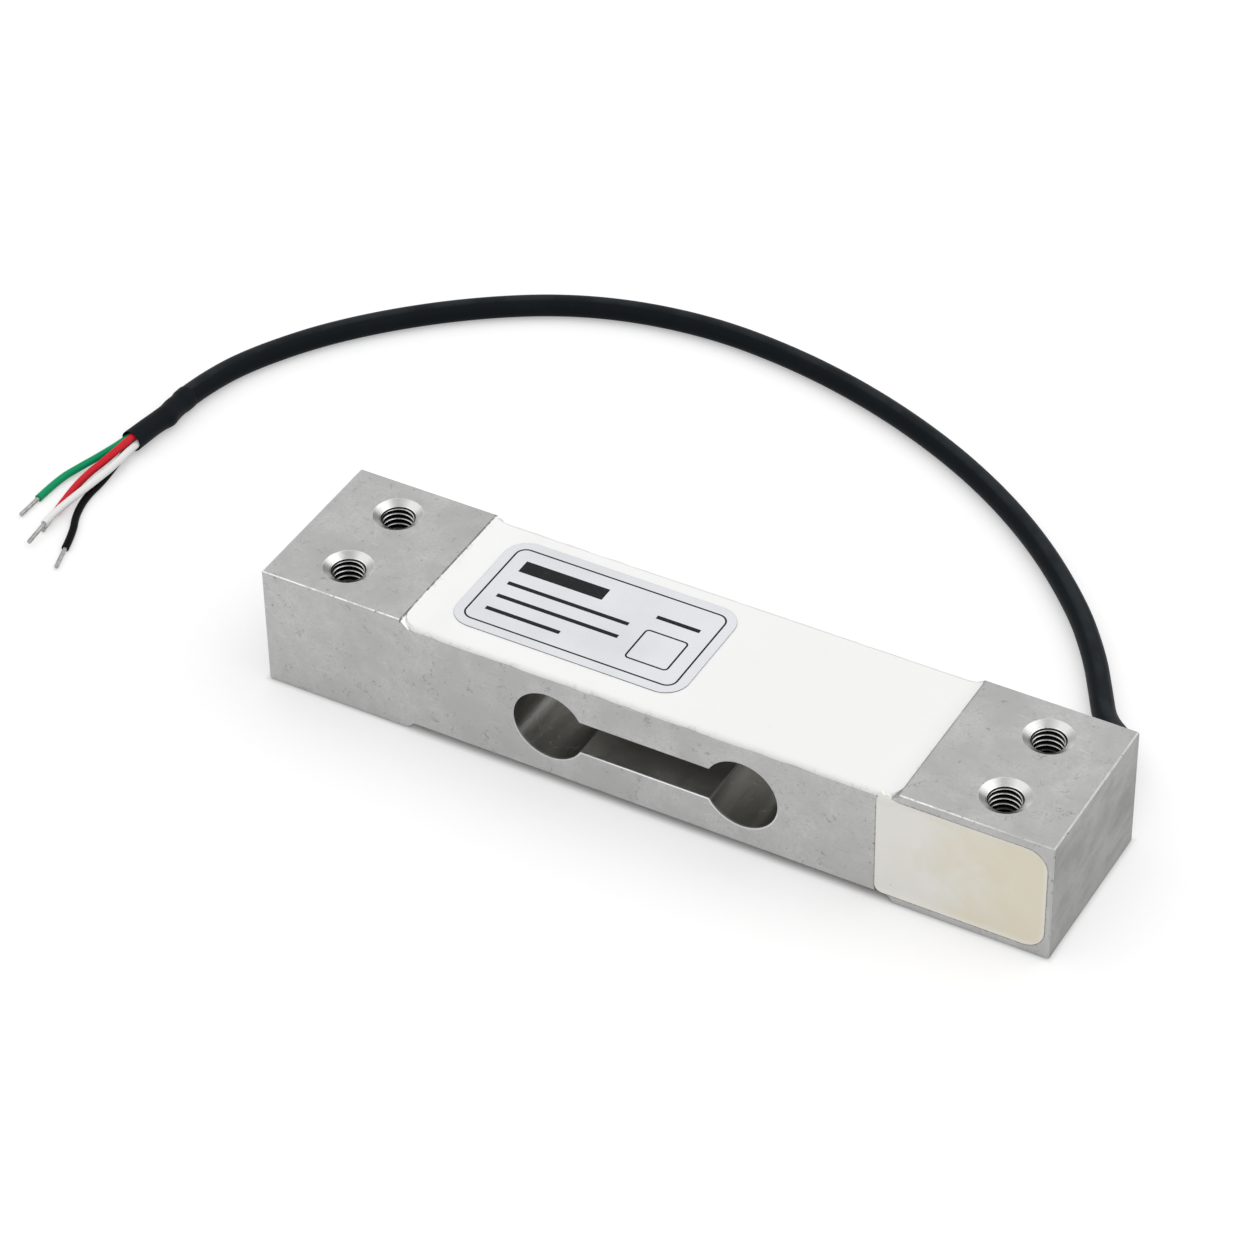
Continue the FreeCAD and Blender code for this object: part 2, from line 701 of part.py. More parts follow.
def build_cable():
    """Cable in its bore with its seal, and the free cable along its route to the sleeve."""
    inner = doc.addObject("PartDesign::Body", "inner_cable_length")
    circle = new_sketch(inner, "sheath_circle", "XZ_Plane", f"-{FRONT}")
    draw_circle(circle, CABLE_X, "sizes.cable_height", "sizes.cable_diameter")
    add_pad(inner, "sheath", circle, f"{FRONT} + {CORE_INNER_END}")
    keep(inner, "inner_cable_length")

    seal = doc.addObject("PartDesign::Body", "cable_seal")
    ring = new_sketch(seal, "seal_ring", "XZ_Plane", f"-{FRONT}")
    draw_circle(ring, CABLE_X, "sizes.cable_height", "sizes.seal_diameter")
    draw_circle(ring, CABLE_X, "sizes.cable_height", "sizes.cable_diameter")
    add_pad(seal, "seal_bead", ring, "sizes.seal_depth")
    keep(seal, "cable_seal")

    exit_point = Vector(number(CABLE_X), number(FRONT), number("sizes.cable_height"))
    route = [exit_point] + [Vector(*point) for point in CABLE_ROUTE]
    add_shape("signal_cable", tube(route, number("sizes.cable_diameter"), label="signal_cable"))
    return route[-1], unit(route[-1] - route[-2])


def build_sleeve(cable_end, direction):
    """Shrink sleeve over the end of the cable, drawn in to a narrower mouth round the wires."""
    body = doc.addObject("PartDesign::Body", "heat_shrink_sleeve")
    section = new_sketch(body, "sleeve_section", "XZ_Plane")
    grip = "(sizes.cable_diameter / 2)"
    outer = f"({grip} + sizes.sleeve_wall)"
    bundle = f"({CORE_STEP} * sqrt(2) + sizes.core_diameter / 2)"
    throat = f"({bundle} + sizes.sleeve_slack)"
    mouth = f"({throat} + sizes.sleeve_wall)"
    front = "(sizes.sleeve_length - sizes.sleeve_overlap)"
    draw_outline(section, [
        ("-sizes.sleeve_overlap", grip),
        ("-sizes.sleeve_overlap", f"{outer} - sizes.sleeve_edge"),
        ("sizes.sleeve_edge - sizes.sleeve_overlap", outer),
        ("0", outer),
        (f"{front} / 2", mouth),
        (f"{front} - sizes.sleeve_edge", mouth),
        (front, f"{mouth} - sizes.sleeve_edge"),
        (front, throat),
        ("0", throat),
        ("0", grip),
    ])
    turned = body.newObject("PartDesign::Revolution", "sleeve_wall")
    turned.Profile = section
    turned.ReferenceAxis = (section, ["H_Axis"])
    turned.Angle = 360
    doc.recompute()
    body.Placement = FreeCAD.Placement(cable_end, FreeCAD.Rotation(Vector(1, 0, 0), direction))
    return keep(body, "heat_shrink_sleeve")


def build_wire(colour, cable_end, direction):
    """Insulated wire from the end of the cable through the sleeve, with its tinned end."""
    across = unit(Vector(-direction.y, direction.x, 0))
    upward = unit(across.cross(direction) * -1)
    angle = math.radians(WIRES[colour]["angle"])
    ring = number(f"{CORE_STEP} * sqrt(2)")
    offset = across * (ring * math.cos(angle)) + upward * (ring * math.sin(angle))
    start = cable_end + offset
    bend = start + direction * number("sizes.sleeve_length - sizes.sleeve_overlap + sizes.wire_exit")
    route = [start, bend] + [Vector(*point) for point in WIRES[colour]["route"]]
    add_shape(f"wire_{colour}", tube(route, number("sizes.core_diameter"), label=f"wire_{colour}"))
    tip = doc.addObject("Part::Cylinder", f"tinned_end_{colour}")
    bind(tip, Radius="sizes.tin_diameter / 2", Height="sizes.tin_length")
    tip.Placement = FreeCAD.Placement(route[-1], FreeCAD.Rotation(Vector(0, 0, 1), route[-1] - route[-2]))
    keep(tip, f"tinned_end_{colour}")


def check_and_write():
    """Stop on any failed object or bad shape, then write one file per sub-part."""
    doc.recompute()
    for item in doc.Objects:
        if "Invalid" in item.State or "Error" in item.State:
            raise RuntimeError(f"{item.Name} failed: {item.State}")
    for node in nodes:
        if node.Shape.isNull() or not node.Shape.isValid():
            raise RuntimeError(f"{node.Label} has no valid shape")
    os.makedirs("parts", exist_ok=True)
    for node in nodes:
        node.Shape.exportStep(os.path.join("parts", f"{node.Label}.step"))
        print(node.Label, "solids", len(node.Shape.Solids), "volume", round(node.Shape.Volume, 3))


def main():
    """Build every sub-part in order and write the files."""
    fill_sheet()
    build_beam()
    fillings = {"top": [], "bottom": []}
    in_pocket = []
    for level in ("top", "bottom"):
        for side in ("left", "right"):
            fillings[level].append(build_gauge(level, side))
            leads = build_leads(level, side)
            fillings[level].append(leads)
            in_pocket.append(leads)
    in_pocket.append(build_board())
    for place, name in enumerate(("zero_trim_resistor", "span_trim_resistor", "temperature_resistor")):
        in_pocket.append(build_resistor(name, place))
    places = {"green": (-1, 1), "red": (1, 1), "black": (-1, -1), "white": (1, -1)}
    for colour, (step_x, step_z) in places.items():
        in_pocket.append(build_core(colour, step_x, step_z))
    build_potting(in_pocket)
    for level, covered in fillings.items():
        build_sealant(level, covered)
    build_label()
    cable_end, direction = build_cable()
    build_sleeve(cable_end, direction)
    for colour in WIRES:
        build_wire(colour, cable_end, direction)
    check_and_write()


main()
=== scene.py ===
"""Looks of a single-point weighing load cell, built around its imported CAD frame.

The frame gives every place and size in metres. +X runs along the beam to the cable end, -Y is the
face with the potted pocket, +Z is up to the label.
"""

import logging
import math
from dataclasses import dataclass, field
from enum import Enum
from typing import Callable, Sequence

import bpy
from mathutils import Matrix, Vector, noise


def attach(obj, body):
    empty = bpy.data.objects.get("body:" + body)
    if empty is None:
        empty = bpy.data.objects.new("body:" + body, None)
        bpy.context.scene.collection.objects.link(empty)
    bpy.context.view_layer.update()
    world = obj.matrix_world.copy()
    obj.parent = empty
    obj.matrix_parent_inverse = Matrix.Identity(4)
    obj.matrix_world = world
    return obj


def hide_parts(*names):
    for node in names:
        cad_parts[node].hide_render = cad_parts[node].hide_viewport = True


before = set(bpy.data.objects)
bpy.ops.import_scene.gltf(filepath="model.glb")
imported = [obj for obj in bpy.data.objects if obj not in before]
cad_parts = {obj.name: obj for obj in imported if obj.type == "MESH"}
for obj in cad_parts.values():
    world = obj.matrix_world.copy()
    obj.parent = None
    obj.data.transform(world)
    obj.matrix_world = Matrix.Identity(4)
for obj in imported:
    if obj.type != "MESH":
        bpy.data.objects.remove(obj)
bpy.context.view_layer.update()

MM = 0.001
Pair = tuple[float, float]
Point = tuple[float, float, float]
Colour = tuple[float, float, float]
Quad = tuple[float, float, float, float]
Corners = dict[tuple[int, int], float]
Socket = bpy.types.NodeSocket
Value = Socket | float | Sequence[float]

log = logging.getLogger("load_cell")


class Level(Enum):
    """Upper or lower face of the beam."""

    TOP = 1
    BOTTOM = -1


class WireColour(Enum):
    """Insulation colours of the four wires."""

    GREEN = "green"
    RED = "red"
    BLACK = "black"
    WHITE = "white"


class Workbench:
    """Modelling moves shared by every piece, made with Blender's own operators."""

    @staticmethod
    def clear() -> None:
        """Leave edit mode and deselect everything."""
        if bpy.context.mode != "OBJECT":
            bpy.ops.object.mode_set(mode="OBJECT")
        bpy.ops.object.select_all(action="DESELECT")

    @classmethod
    def take(cls, *pieces: bpy.types.Object) -> None:
        """Make some pieces the only selected ones and the first of them active.

        Args:
            *pieces: Pieces to work on.
        """
        cls.clear()
        for piece in pieces:
            piece.select_set(True)
        bpy.context.view_layer.objects.active = pieces[0]

    @classmethod
    def join(cls, *pieces: bpy.types.Object) -> None:
        """Join some pieces into the first of them."""
        cls.take(*pieces)
        bpy.ops.object.join()

    @staticmethod
    def started(name: str) -> bpy.types.Object:
        """Name the primitive that was just added.

        Args:
            name: Name of the piece.

        Returns:
            The new piece.
        """
        piece = bpy.context.active_object
        piece.name = name
        piece.data.name = name
        return piece

    @classmethod
    def pick(cls, piece: bpy.types.Object, test: Callable[[Vector], bool]) -> None:
        """Open a piece in edit mode with the vertices that pass a test selected.

        Args:
            piece: Piece to open.
            test: Called with a vertex's place, in metres.
        """
        cls.take(piece)
        mesh = piece.data
        for part in (*mesh.polygons, *mesh.edges):
            part.select = False
        for vertex in mesh.vertices:
            vertex.select = test(vertex.co)
        bpy.ops.object.mode_set(mode="EDIT")
        bpy.ops.mesh.select_mode(type="VERT")

    @classmethod
    def pick_all(cls, piece: bpy.types.Object) -> None:
        """Open a piece in edit mode with everything selected.

        Args:
            piece: Piece to open.
        """
        cls.take(piece)
        bpy.ops.object.mode_set(mode="EDIT")
        bpy.ops.mesh.select_mode(type="VERT")
        bpy.ops.mesh.select_all(action="SELECT")

    @classmethod
    def settle(cls, piece: bpy.types.Object) -> None:
        """Put a piece's place, turn and scale into its mesh."""
        cls.take(piece)
        bpy.ops.object.transform_apply(location=True, rotation=True, scale=True)

    @classmethod
    def apply_modifiers(cls, piece: bpy.types.Object) -> None:
        """Apply a piece's modifiers in order.

        Args:
            piece: Piece whose modifiers become mesh.
        """
        cls.take(piece)
        for name in [modifier.name for modifier in piece.modifiers]:
            bpy.ops.object.modifier_apply(modifier=name)

    @classmethod
    def face_outwards(cls, piece: bpy.types.Object, merge: float = 0.0) -> None:
        """Turn every face of a closed piece outwards.

        Args:
            piece: Closed piece.
            merge: Distance under which doubled vertices are merged first, none if 0.
        """
        cls.pick_all(piece)
        if merge:
            bpy.ops.mesh.remove_doubles(threshold=merge)
        bpy.ops.mesh.normals_make_consistent(inside=False)
        cls.clear()

    @classmethod
    def smooth(cls, piece: bpy.types.Object, degrees: float) -> None:
        """Shade smooth, keeping edges sharper than an angle."""
        cls.take(piece)
        bpy.ops.object.shade_smooth_by_angle(angle=math.radians(degrees))

    @classmethod
    def hand_over(
        cls,
        piece: bpy.types.Object,
        material: bpy.types.Material,
        slot: str,
        stands_for: Sequence[str] = (),
    ) -> bpy.types.Object:
        """Give a finished piece its material and its place in the frame.

        Args:
            piece: Finished piece.
            material: Its finish.
            slot: Name of a material slot, not used.
            stands_for: CAD nodes that the piece replaces.

        Returns:
            The same piece.
        """
        cls.clear()
        piece.data.materials.clear()
        piece.data.materials.append(material)
        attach(piece, "root")
        if stands_for:
            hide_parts(*stands_for)
        log.info("piece %s", piece.name)
        return piece


class NodeBench:
    """A node tree, with a short call for each kind of node that the script needs."""

    def __init__(self, tree: bpy.types.NodeTree) -> None:
        """Take up a node tree."""
        self.tree = tree

    def add(self, kind: str) -> bpy.types.Node:
        """Add a shader node, named without its prefix."""
        return self.tree.nodes.new(f"ShaderNode{kind}")

    def feed(self, socket: Socket, value: Value) -> None:
        """Set a socket, or link it where the value is another node's output.

        Args:
            socket: Input to feed.
            value: Number, colour, vector or output socket.
        """
        if isinstance(value, Socket):
            self.tree.links.new(value, socket)
        elif hasattr(value, "__len__") and socket.type == "RGBA" and len(value) == 3:
            socket.default_value = (*value, 1.0)
        else:
            socket.default_value = value

    def feed_all(self, node: bpy.types.Node, **sockets: Value) -> None:
        """Feed a node's sockets, named with underscores for spaces."""
        for name, value in sockets.items():
            self.feed(node.inputs[name.replace("_", " ")], value)

    def math(self, operation: str, first: Value, *others: Value) -> Socket:
        """Number worked out from others, taken two at a time from the left.

        Args:
            operation: Name of the operation.
            first: First number.
            *others: The other numbers, none for an operation on one number.

        Returns:
            Socket with the result.
        """
        result = first
        for other in others or (0.0,):
            node = self.add("Math")
            node.operation = operation
            self.feed(node.inputs[0], result)
            self.feed(node.inputs[1], other)
            result = node.outputs[0]
        return result

    def gap(self, value: Value, middle: Value) -> Socket:
        """How far a number is from another, either way."""
        return self.math("ABSOLUTE", self.math("SUBTRACT", value, middle))

    def past(self, value: Value, reach: Value) -> Socket:
        """How far a number's size goes past a reach."""
        return self.math("SUBTRACT", self.math("ABSOLUTE", value), reach)

    def between(self, value: Value, low: float, high: float) -> Socket:
        """1 where a number lies between two others, 0 elsewhere."""
        above = self.math("GREATER_THAN", value, low)
        return self.math("MULTIPLY", above, self.math("LESS_THAN", value, high))

    def split(self, vector: Socket) -> list[Socket]:
        """The three parts of a vector.

        Args:
            vector: Socket with the vector.

        Returns:
            Sockets of x, y and z.
        """
        node = self.add("SeparateXYZ")
        self.feed(node.inputs[0], vector)
        return list(node.outputs)

    def axes(self) -> list[Socket]:
        """Sockets of x, y and z of the object's own coordinates."""
        return self.split(self.add("TexCoord").outputs["Object"])

    def span(self, value: Value, start: float, end: float, low: Value = 0.0, high: Value = 1.0) -> Socket:
        """Smooth ramp of one number, held at both ends.

        Args:
            value: Number to map.
            start: Value that gives low.
            end: Value that gives high.
            low: Result at the start.
            high: Result at the end.

        Returns:
            Socket with the result.
        """
        node = self.add("MapRange")
        node.interpolation_type = "SMOOTHSTEP"
        for socket, number in zip(node.inputs, (value, start, end, low, high)):
            self.feed(socket, number)
        return node.outputs["Result"]


class Palette(NodeBench):
    """Node tree of one material, built up from a first colour by coats."""

    def __init__(self, name: str, colour: Value) -> None:
        """Start a material with a shader and its output.

        Args:
            name: Name of the material.
            colour: Colour under all the coats.
        """
        self.material = bpy.data.materials.new(name)
        self.material.use_nodes = True
        super().__init__(self.material.node_tree)
        self.tree.nodes.clear()
        self.shader = self.add("BsdfPrincipled")
        self.feed(self.add("OutputMaterial").inputs["Surface"], self.shader.outputs["BSDF"])
        self.place = self.add("TexCoord").outputs["Object"]
        self.colour = colour

    def blend(self, share: Value, first: Value, second: Value) -> Socket:
        """Colour between two others.

        Args:
            share: 0 for the first, 1 for the second.
            first: First colour.
            second: Second colour.

        Returns:
            Socket with the colour.
        """
        node = self.add("Mix")
        node.data_type = "RGBA"
        colour_inputs = (node.inputs[0], node.inputs[6], node.inputs[7])
        for socket, value in zip(colour_inputs, (share, first, second)):
            self.feed(socket, value)
        return node.outputs[2]

    def coat(self, colour: Value, *shares: Value) -> None:
        """Lay a colour over the coats so far, by shares whose product is 1 where it hides them."""
        share = self.math("MULTIPLY", *shares) if len(shares) > 1 else shares[0]
        self.colour = self.blend(share, self.colour, colour)

    def finish(self, **sockets: Value) -> bpy.types.Material:
        """Feed the coats and other values to the shader, and give the material."""
        self.feed_all(self.shader, Base_Color=self.colour, **sockets)
        return self.material

    def stretched(self, scale: Point, turn: Point = (0, 0, 0), shift: Point = (0, 0, 0)) -> Socket:
        """Object coordinates, scaled, turned and shifted.

        Args:
            scale: Scale along each axis.
            turn: Turn about each axis in degrees.
            shift: Shift along each axis.

        Returns:
            Socket with the coordinates.
        """
        node = self.add("Mapping")
        turned = [math.radians(angle) for angle in turn]
        self.feed_all(node, Vector=self.place, Location=shift, Rotation=turned, Scale=scale)
        return node.outputs["Vector"]

    def noise(
        self,
        scale: float,
        detail: float,
        roughness: float,
        vector: Socket | None = None,
        distortion: float = 0.0,
    ) -> Socket:
        """Cloudy noise between 0 and 1.

        Args:
            scale: Number of features to a metre.
            detail: Octaves.
            roughness: Strength of the finer octaves.
            vector: Coordinates, the object's own if left out.
            distortion: Amount of swirl.

        Returns:
            Socket with the noise.
        """
        node = self.add("TexNoise")
        place = self.place if vector is None else vector
        self.feed_all(
            node, Vector=place, Scale=scale, Detail=detail, Roughness=roughness, Distortion=distortion)
        return node.outputs["Fac"]

    def specks(self, scale: float, size: float, rarity: float) -> Socket:
        """Rare round specks.

        Args:
            scale: Number of cells to a metre.
            size: Radius of a speck as a share of its cell.
            rarity: Share of the cells that have no speck.

        Returns:
            Socket that is 1 in a speck.
        """
        cells = self.add("TexVoronoi")
        self.feed_all(cells, Vector=self.place, Scale=scale)
        chance = self.split(cells.outputs["Color"])[0]
        chosen = self.span(chance, rarity, min(rarity + 0.05, 1.0))
        return self.math("MULTIPLY", chosen, self.span(cells.outputs["Distance"], size, size * 0.4))

    def hairs(self, scale: float, width: float, patches: float) -> Socket:
        """Fine curling marks in scattered patches.

        Args:
            scale: Number of features to a metre.
            width: Width of a mark as a share of the noise's range.
            patches: Number of patches to a metre.

        Returns:
            Socket that is 1 in a mark.
        """
        level = self.gap(self.noise(scale, 2.0, 0.6, distortion=0.8), 0.5)
        shown = self.span(self.noise(patches, 3.0, 0.6), 0.54, 0.62)
        return self.math("MULTIPLY", shown, self.span(level, width, width * 0.3))

    def scratches(self, turn: Point, length: float, width: float, rarity: float) -> Socket:
        """Thin scratches turned about each axis, that show above a noise level."""
        vector = self.stretched((1 / length, 1 / width, 1 / width), turn)
        return self.span(self.noise(1.0, 2.0, 0.5, vector), rarity, rarity + 0.06)

    def rounded_edges(self, radius: float) -> tuple[Socket, Socket]:
        """Edges rounded in the shading only, as a broken edge catches the light.

        Args:
            radius: Radius of the rounding in metres.

        Returns:
            Sockets of a mask that is 1 on an edge and of the rounded normal.
        """
        bevel = self.add("Bevel")
        bevel.samples = 6
        self.feed_all(bevel, Radius=radius)
        dot = self.add("VectorMath")
        dot.operation = "DOT_PRODUCT"
        self.feed(dot.inputs[0], bevel.outputs["Normal"])
        self.feed(dot.inputs[1], self.add("NewGeometry").outputs["Normal"])
        return self.span(dot.outputs["Value"], 0.995, 0.93), bevel.outputs["Normal"]

    def tilt(self) -> tuple[Socket, Socket]:
        """How a face lies, from the surface's own normal.

        Returns:
            Sockets of a mask that is 1 on faces tilted between two axes and of the normal's height.
        """
        parts = self.split(self.add("NewGeometry").outputs["True Normal"])
        largest = self.math("MAXIMUM", *[self.math("ABSOLUTE", part) for part in parts])
        return self.span(largest, 0.95, 0.85), parts[2]

    def upward(self) -> Socket:
        """Height of the smooth normal, 1 where the surface faces up."""
        return self.split(self.add("NewGeometry").outputs["Normal"])[2]

    def attribute(self, name: str) -> Socket:
        """Number kept on the piece's own vertices.

        Args:
            name: Name of the attribute.

        Returns:
            Socket with the number.
        """
        node = self.add("Attribute")
        node.attribute_name = name
        return node.outputs["Fac"]

    def bump(self, *layers: tuple[Socket, float], normal: Socket | None = None) -> None:
        """Raise the surface by one or more layers.

        Args:
            *layers: Height socket and its full height in metres for each layer.
            normal: Normal to start from, the surface's own if left out.
        """
        for height, distance in layers:
            node = self.add("Bump")
            self.feed_all(node, Strength=1.0, Distance=distance, Height=height)
            if normal is not None:
                self.feed_all(node, Normal=normal)
            normal = node.outputs["Normal"]
        self.feed_all(self.shader, Normal=normal)


@dataclass(frozen=True)
class PaintedHoleLight:
    """Painted light and dark sectors round each bolt hole, set by side, with faint tool marks. Metres and
    radians.
    """

    place: Pair = (0.057, 0.0075)
    first_light: float = 1.31
    light_side: float = 1.4
    quarters: float = 0.30
    halves: float = 0.30
    marks: float = 0.24
    level: float = 0.36

    def share(self, palette: Palette) -> Socket:
        """Share of painted light on the metal at each angle.

        Args:
            palette: Material being made.

        Returns:
            Socket between 0 in a dark sector and 1 in a light one.
        """
        x, y, _ = palette.axes()
        offsets = []
        for part, middle in ((y, self.place[1]), (x, self.place[0])):
            offsets.append(palette.math("MULTIPLY", palette.past(part, middle), palette.math("SIGN", part)))
        angle = palette.math("ARCTAN2", *offsets)
        turned = palette.math("MULTIPLY", palette.math("SUBTRACT", angle, self.first_light), 4.0)
        side = palette.math("SUBTRACT", angle, self.light_side)
        quarters = palette.math("MULTIPLY", palette.math("COSINE", turned), self.quarters)
        halves = palette.math("MULTIPLY", palette.math("COSINE", side), self.halves)
        marks = palette.math("MULTIPLY", palette.noise(1600.0, 3.0, 0.6), self.marks)
        return palette.math("ADD", quarters, halves, marks, self.level)


@dataclass
class BeamPlaces:
    """Masks of the beam's own places, each a socket that is 1 there. Metres."""

    palette: Palette
    half_length: float = 0.0685
    half_width: float = 0.015
    half_height: float = 0.011
    end_skin: float = 0.00005
    front_skin: float = 0.0002
    hole_place: Pair = (0.057, 0.0075)
    cone_radii: Pair = (0.00294, 0.00416)
    cone_depths: Pair = (0.0008, 0.00002)
    bore_place: Pair = (0.01675, 0.011)
    bore_radius: float = 0.00625
    bore_skin: float = 0.0001
    bore_start: float = 0.0006
    half_slot: float = 0.003
    slot_half_length: float = 0.0115
    rim_middle: float = 0.0001
    rim_widths: Pair = (0.00019, 0.00009)
    rim_heights: Pair = (-0.0005, -0.0022)
    slope_ends: Pair = (0.0414, 0.0431)
    seam_place: float = 0.04302
    seam_height: float = 0.0214
    seam_widths: Pair = (0.00026, 0.00012)
    pocket_middle: Pair = (0.0535, 0.011)
    pocket_half: Pair = (0.014, 0.0095)
    pocket_corners: Pair = (0.0011, 0.0035)
    pocket_line_middle: float = 0.00004
    pocket_widths: Pair = (0.00022, 0.00006)

    def reach(self, *sides: Value) -> Socket:
        """Length of two sides of a right angle taken together."""
        squares = [self.palette.math("MULTIPLY", side, side) for side in sides]
        return self.palette.math("SQRT", self.palette.math("ADD", *squares))

    def front(self) -> Socket:
        """The front face."""
        return self.palette.math("LESS_THAN", self.palette.axes()[1], self.front_skin - self.half_width)

    def ends(self) -> Socket:
        """The two sawn ends."""
        length = self.palette.math("ABSOLUTE", self.palette.axes()[0])
        return self.palette.math("GREATER_THAN", length, self.half_length - self.end_skin)

    def slot_stretch(self) -> Socket:
        """The stretch of the slot between the bores."""
        length = self.palette.math("ABSOLUTE", self.palette.axes()[0])
        return self.palette.math("LESS_THAN", length, self.slot_half_length)

    def slopes(self) -> Socket:
        """The stretches where the pads fall to the recess."""
        return self.palette.between(self.palette.math("ABSOLUTE", self.palette.axes()[0]), *self.slope_ends)

    def opening_gap(self) -> Socket:
        """How far a place is outside the dumbbell opening.

        Returns:
            Socket with the distance, below 0 inside.
        """
        palette = self.palette
        x, _, z = palette.axes()
        along = palette.past(x, self.bore_place[0])
        height = palette.math("SUBTRACT", z, self.bore_place[1])
        from_bore = palette.math("SUBTRACT", self.reach(along, height), self.bore_radius)
        from_slot = palette.math("MAXIMUM", palette.past(height, self.half_slot), along)
        return palette.math("MINIMUM", from_bore, from_slot)

    def bore_walls(self) -> Socket:
        """The walls of the dumbbell opening.

        Returns:
            Socket with the mask.
        """
        palette = self.palette
        depth = palette.math("ABSOLUTE", palette.axes()[1])
        within = palette.span(depth, self.half_width - self.bore_skin, self.half_width - self.bore_start)
        skin = palette.math("LESS_THAN", self.opening_gap(), self.bore_skin)
        return palette.math("MULTIPLY", skin, within)

    def opening_painted_highlight(self) -> Socket:
        """Painted highlight along the lower half of the dumbbell opening's broken edge.

        Returns:
            Socket with the mask.
        """
        palette = self.palette
        height = palette.math("SUBTRACT", palette.axes()[2], self.bore_place[1])
        line = palette.span(palette.gap(self.opening_gap(), self.rim_middle), *self.rim_widths)
        return palette.math("MULTIPLY", line, palette.span(height, *self.rim_heights), self.front())

    def countersinks(self) -> Socket:
        """The cones round the bolt holes, which get painted light and shade.

        Returns:
            Socket with the mask.
        """
        palette = self.palette
        x, y, z = palette.axes()
        radius = self.reach(palette.past(x, self.hole_place[0]), palette.past(y, self.hole_place[1]))
        heights = [self.half_height - depth for depth in self.cone_depths]
        near = palette.between(palette.gap(z, self.half_height), *heights)
        return palette.math("MULTIPLY", palette.between(radius, *self.cone_radii), near)

    def pocket_line(self) -> Socket:
        """The thin dark line where the metal meets the resin.

        Returns:
            Socket with the mask.
        """
        palette = self.palette
        x, _, z = palette.axes()
        shifted = palette.math("SUBTRACT", x, self.pocket_middle[0])
        radius = palette.span(shifted, -MM, MM, *self.pocket_corners)
        sides = []
        for part, middle, half in zip((x, z), self.pocket_middle, self.pocket_half):
            beyond = palette.math("SUBTRACT", palette.gap(part, middle), half)
            sides.append(palette.math("ADD", beyond, radius))
        outside = self.reach(*[palette.math("MAXIMUM", side, 0.0) for side in sides])
        inside = palette.math("MINIMUM", palette.math("MAXIMUM", *sides), 0.0)
        edge = palette.math("SUBTRACT", palette.math("ADD", outside, inside), radius)
        line = palette.span(palette.gap(edge, self.pocket_line_middle), *self.pocket_widths)
        return palette.math("MULTIPLY", line, self.front())

    def pad_seams(self) -> Socket:
        """The dirty edges where the pads meet the sealant, fainter at the cable end.

        Returns:
            Socket with the mask.
        """
        palette = self.palette
        x, _, z = palette.axes()
        away = palette.gap(palette.math("ABSOLUTE", x), self.seam_place)
        line = palette.span(away, *self.seam_widths)
        upper = palette.math("GREATER_THAN", z, self.seam_height)
        broken = palette.span(palette.noise(620.0, 4.0, 0.7), 0.36, 0.52, 0.25, 1.0)
        return palette.math("MULTIPLY", line, upper, broken, palette.span(x, -0.02, 0.02, 0.9, 0.35))


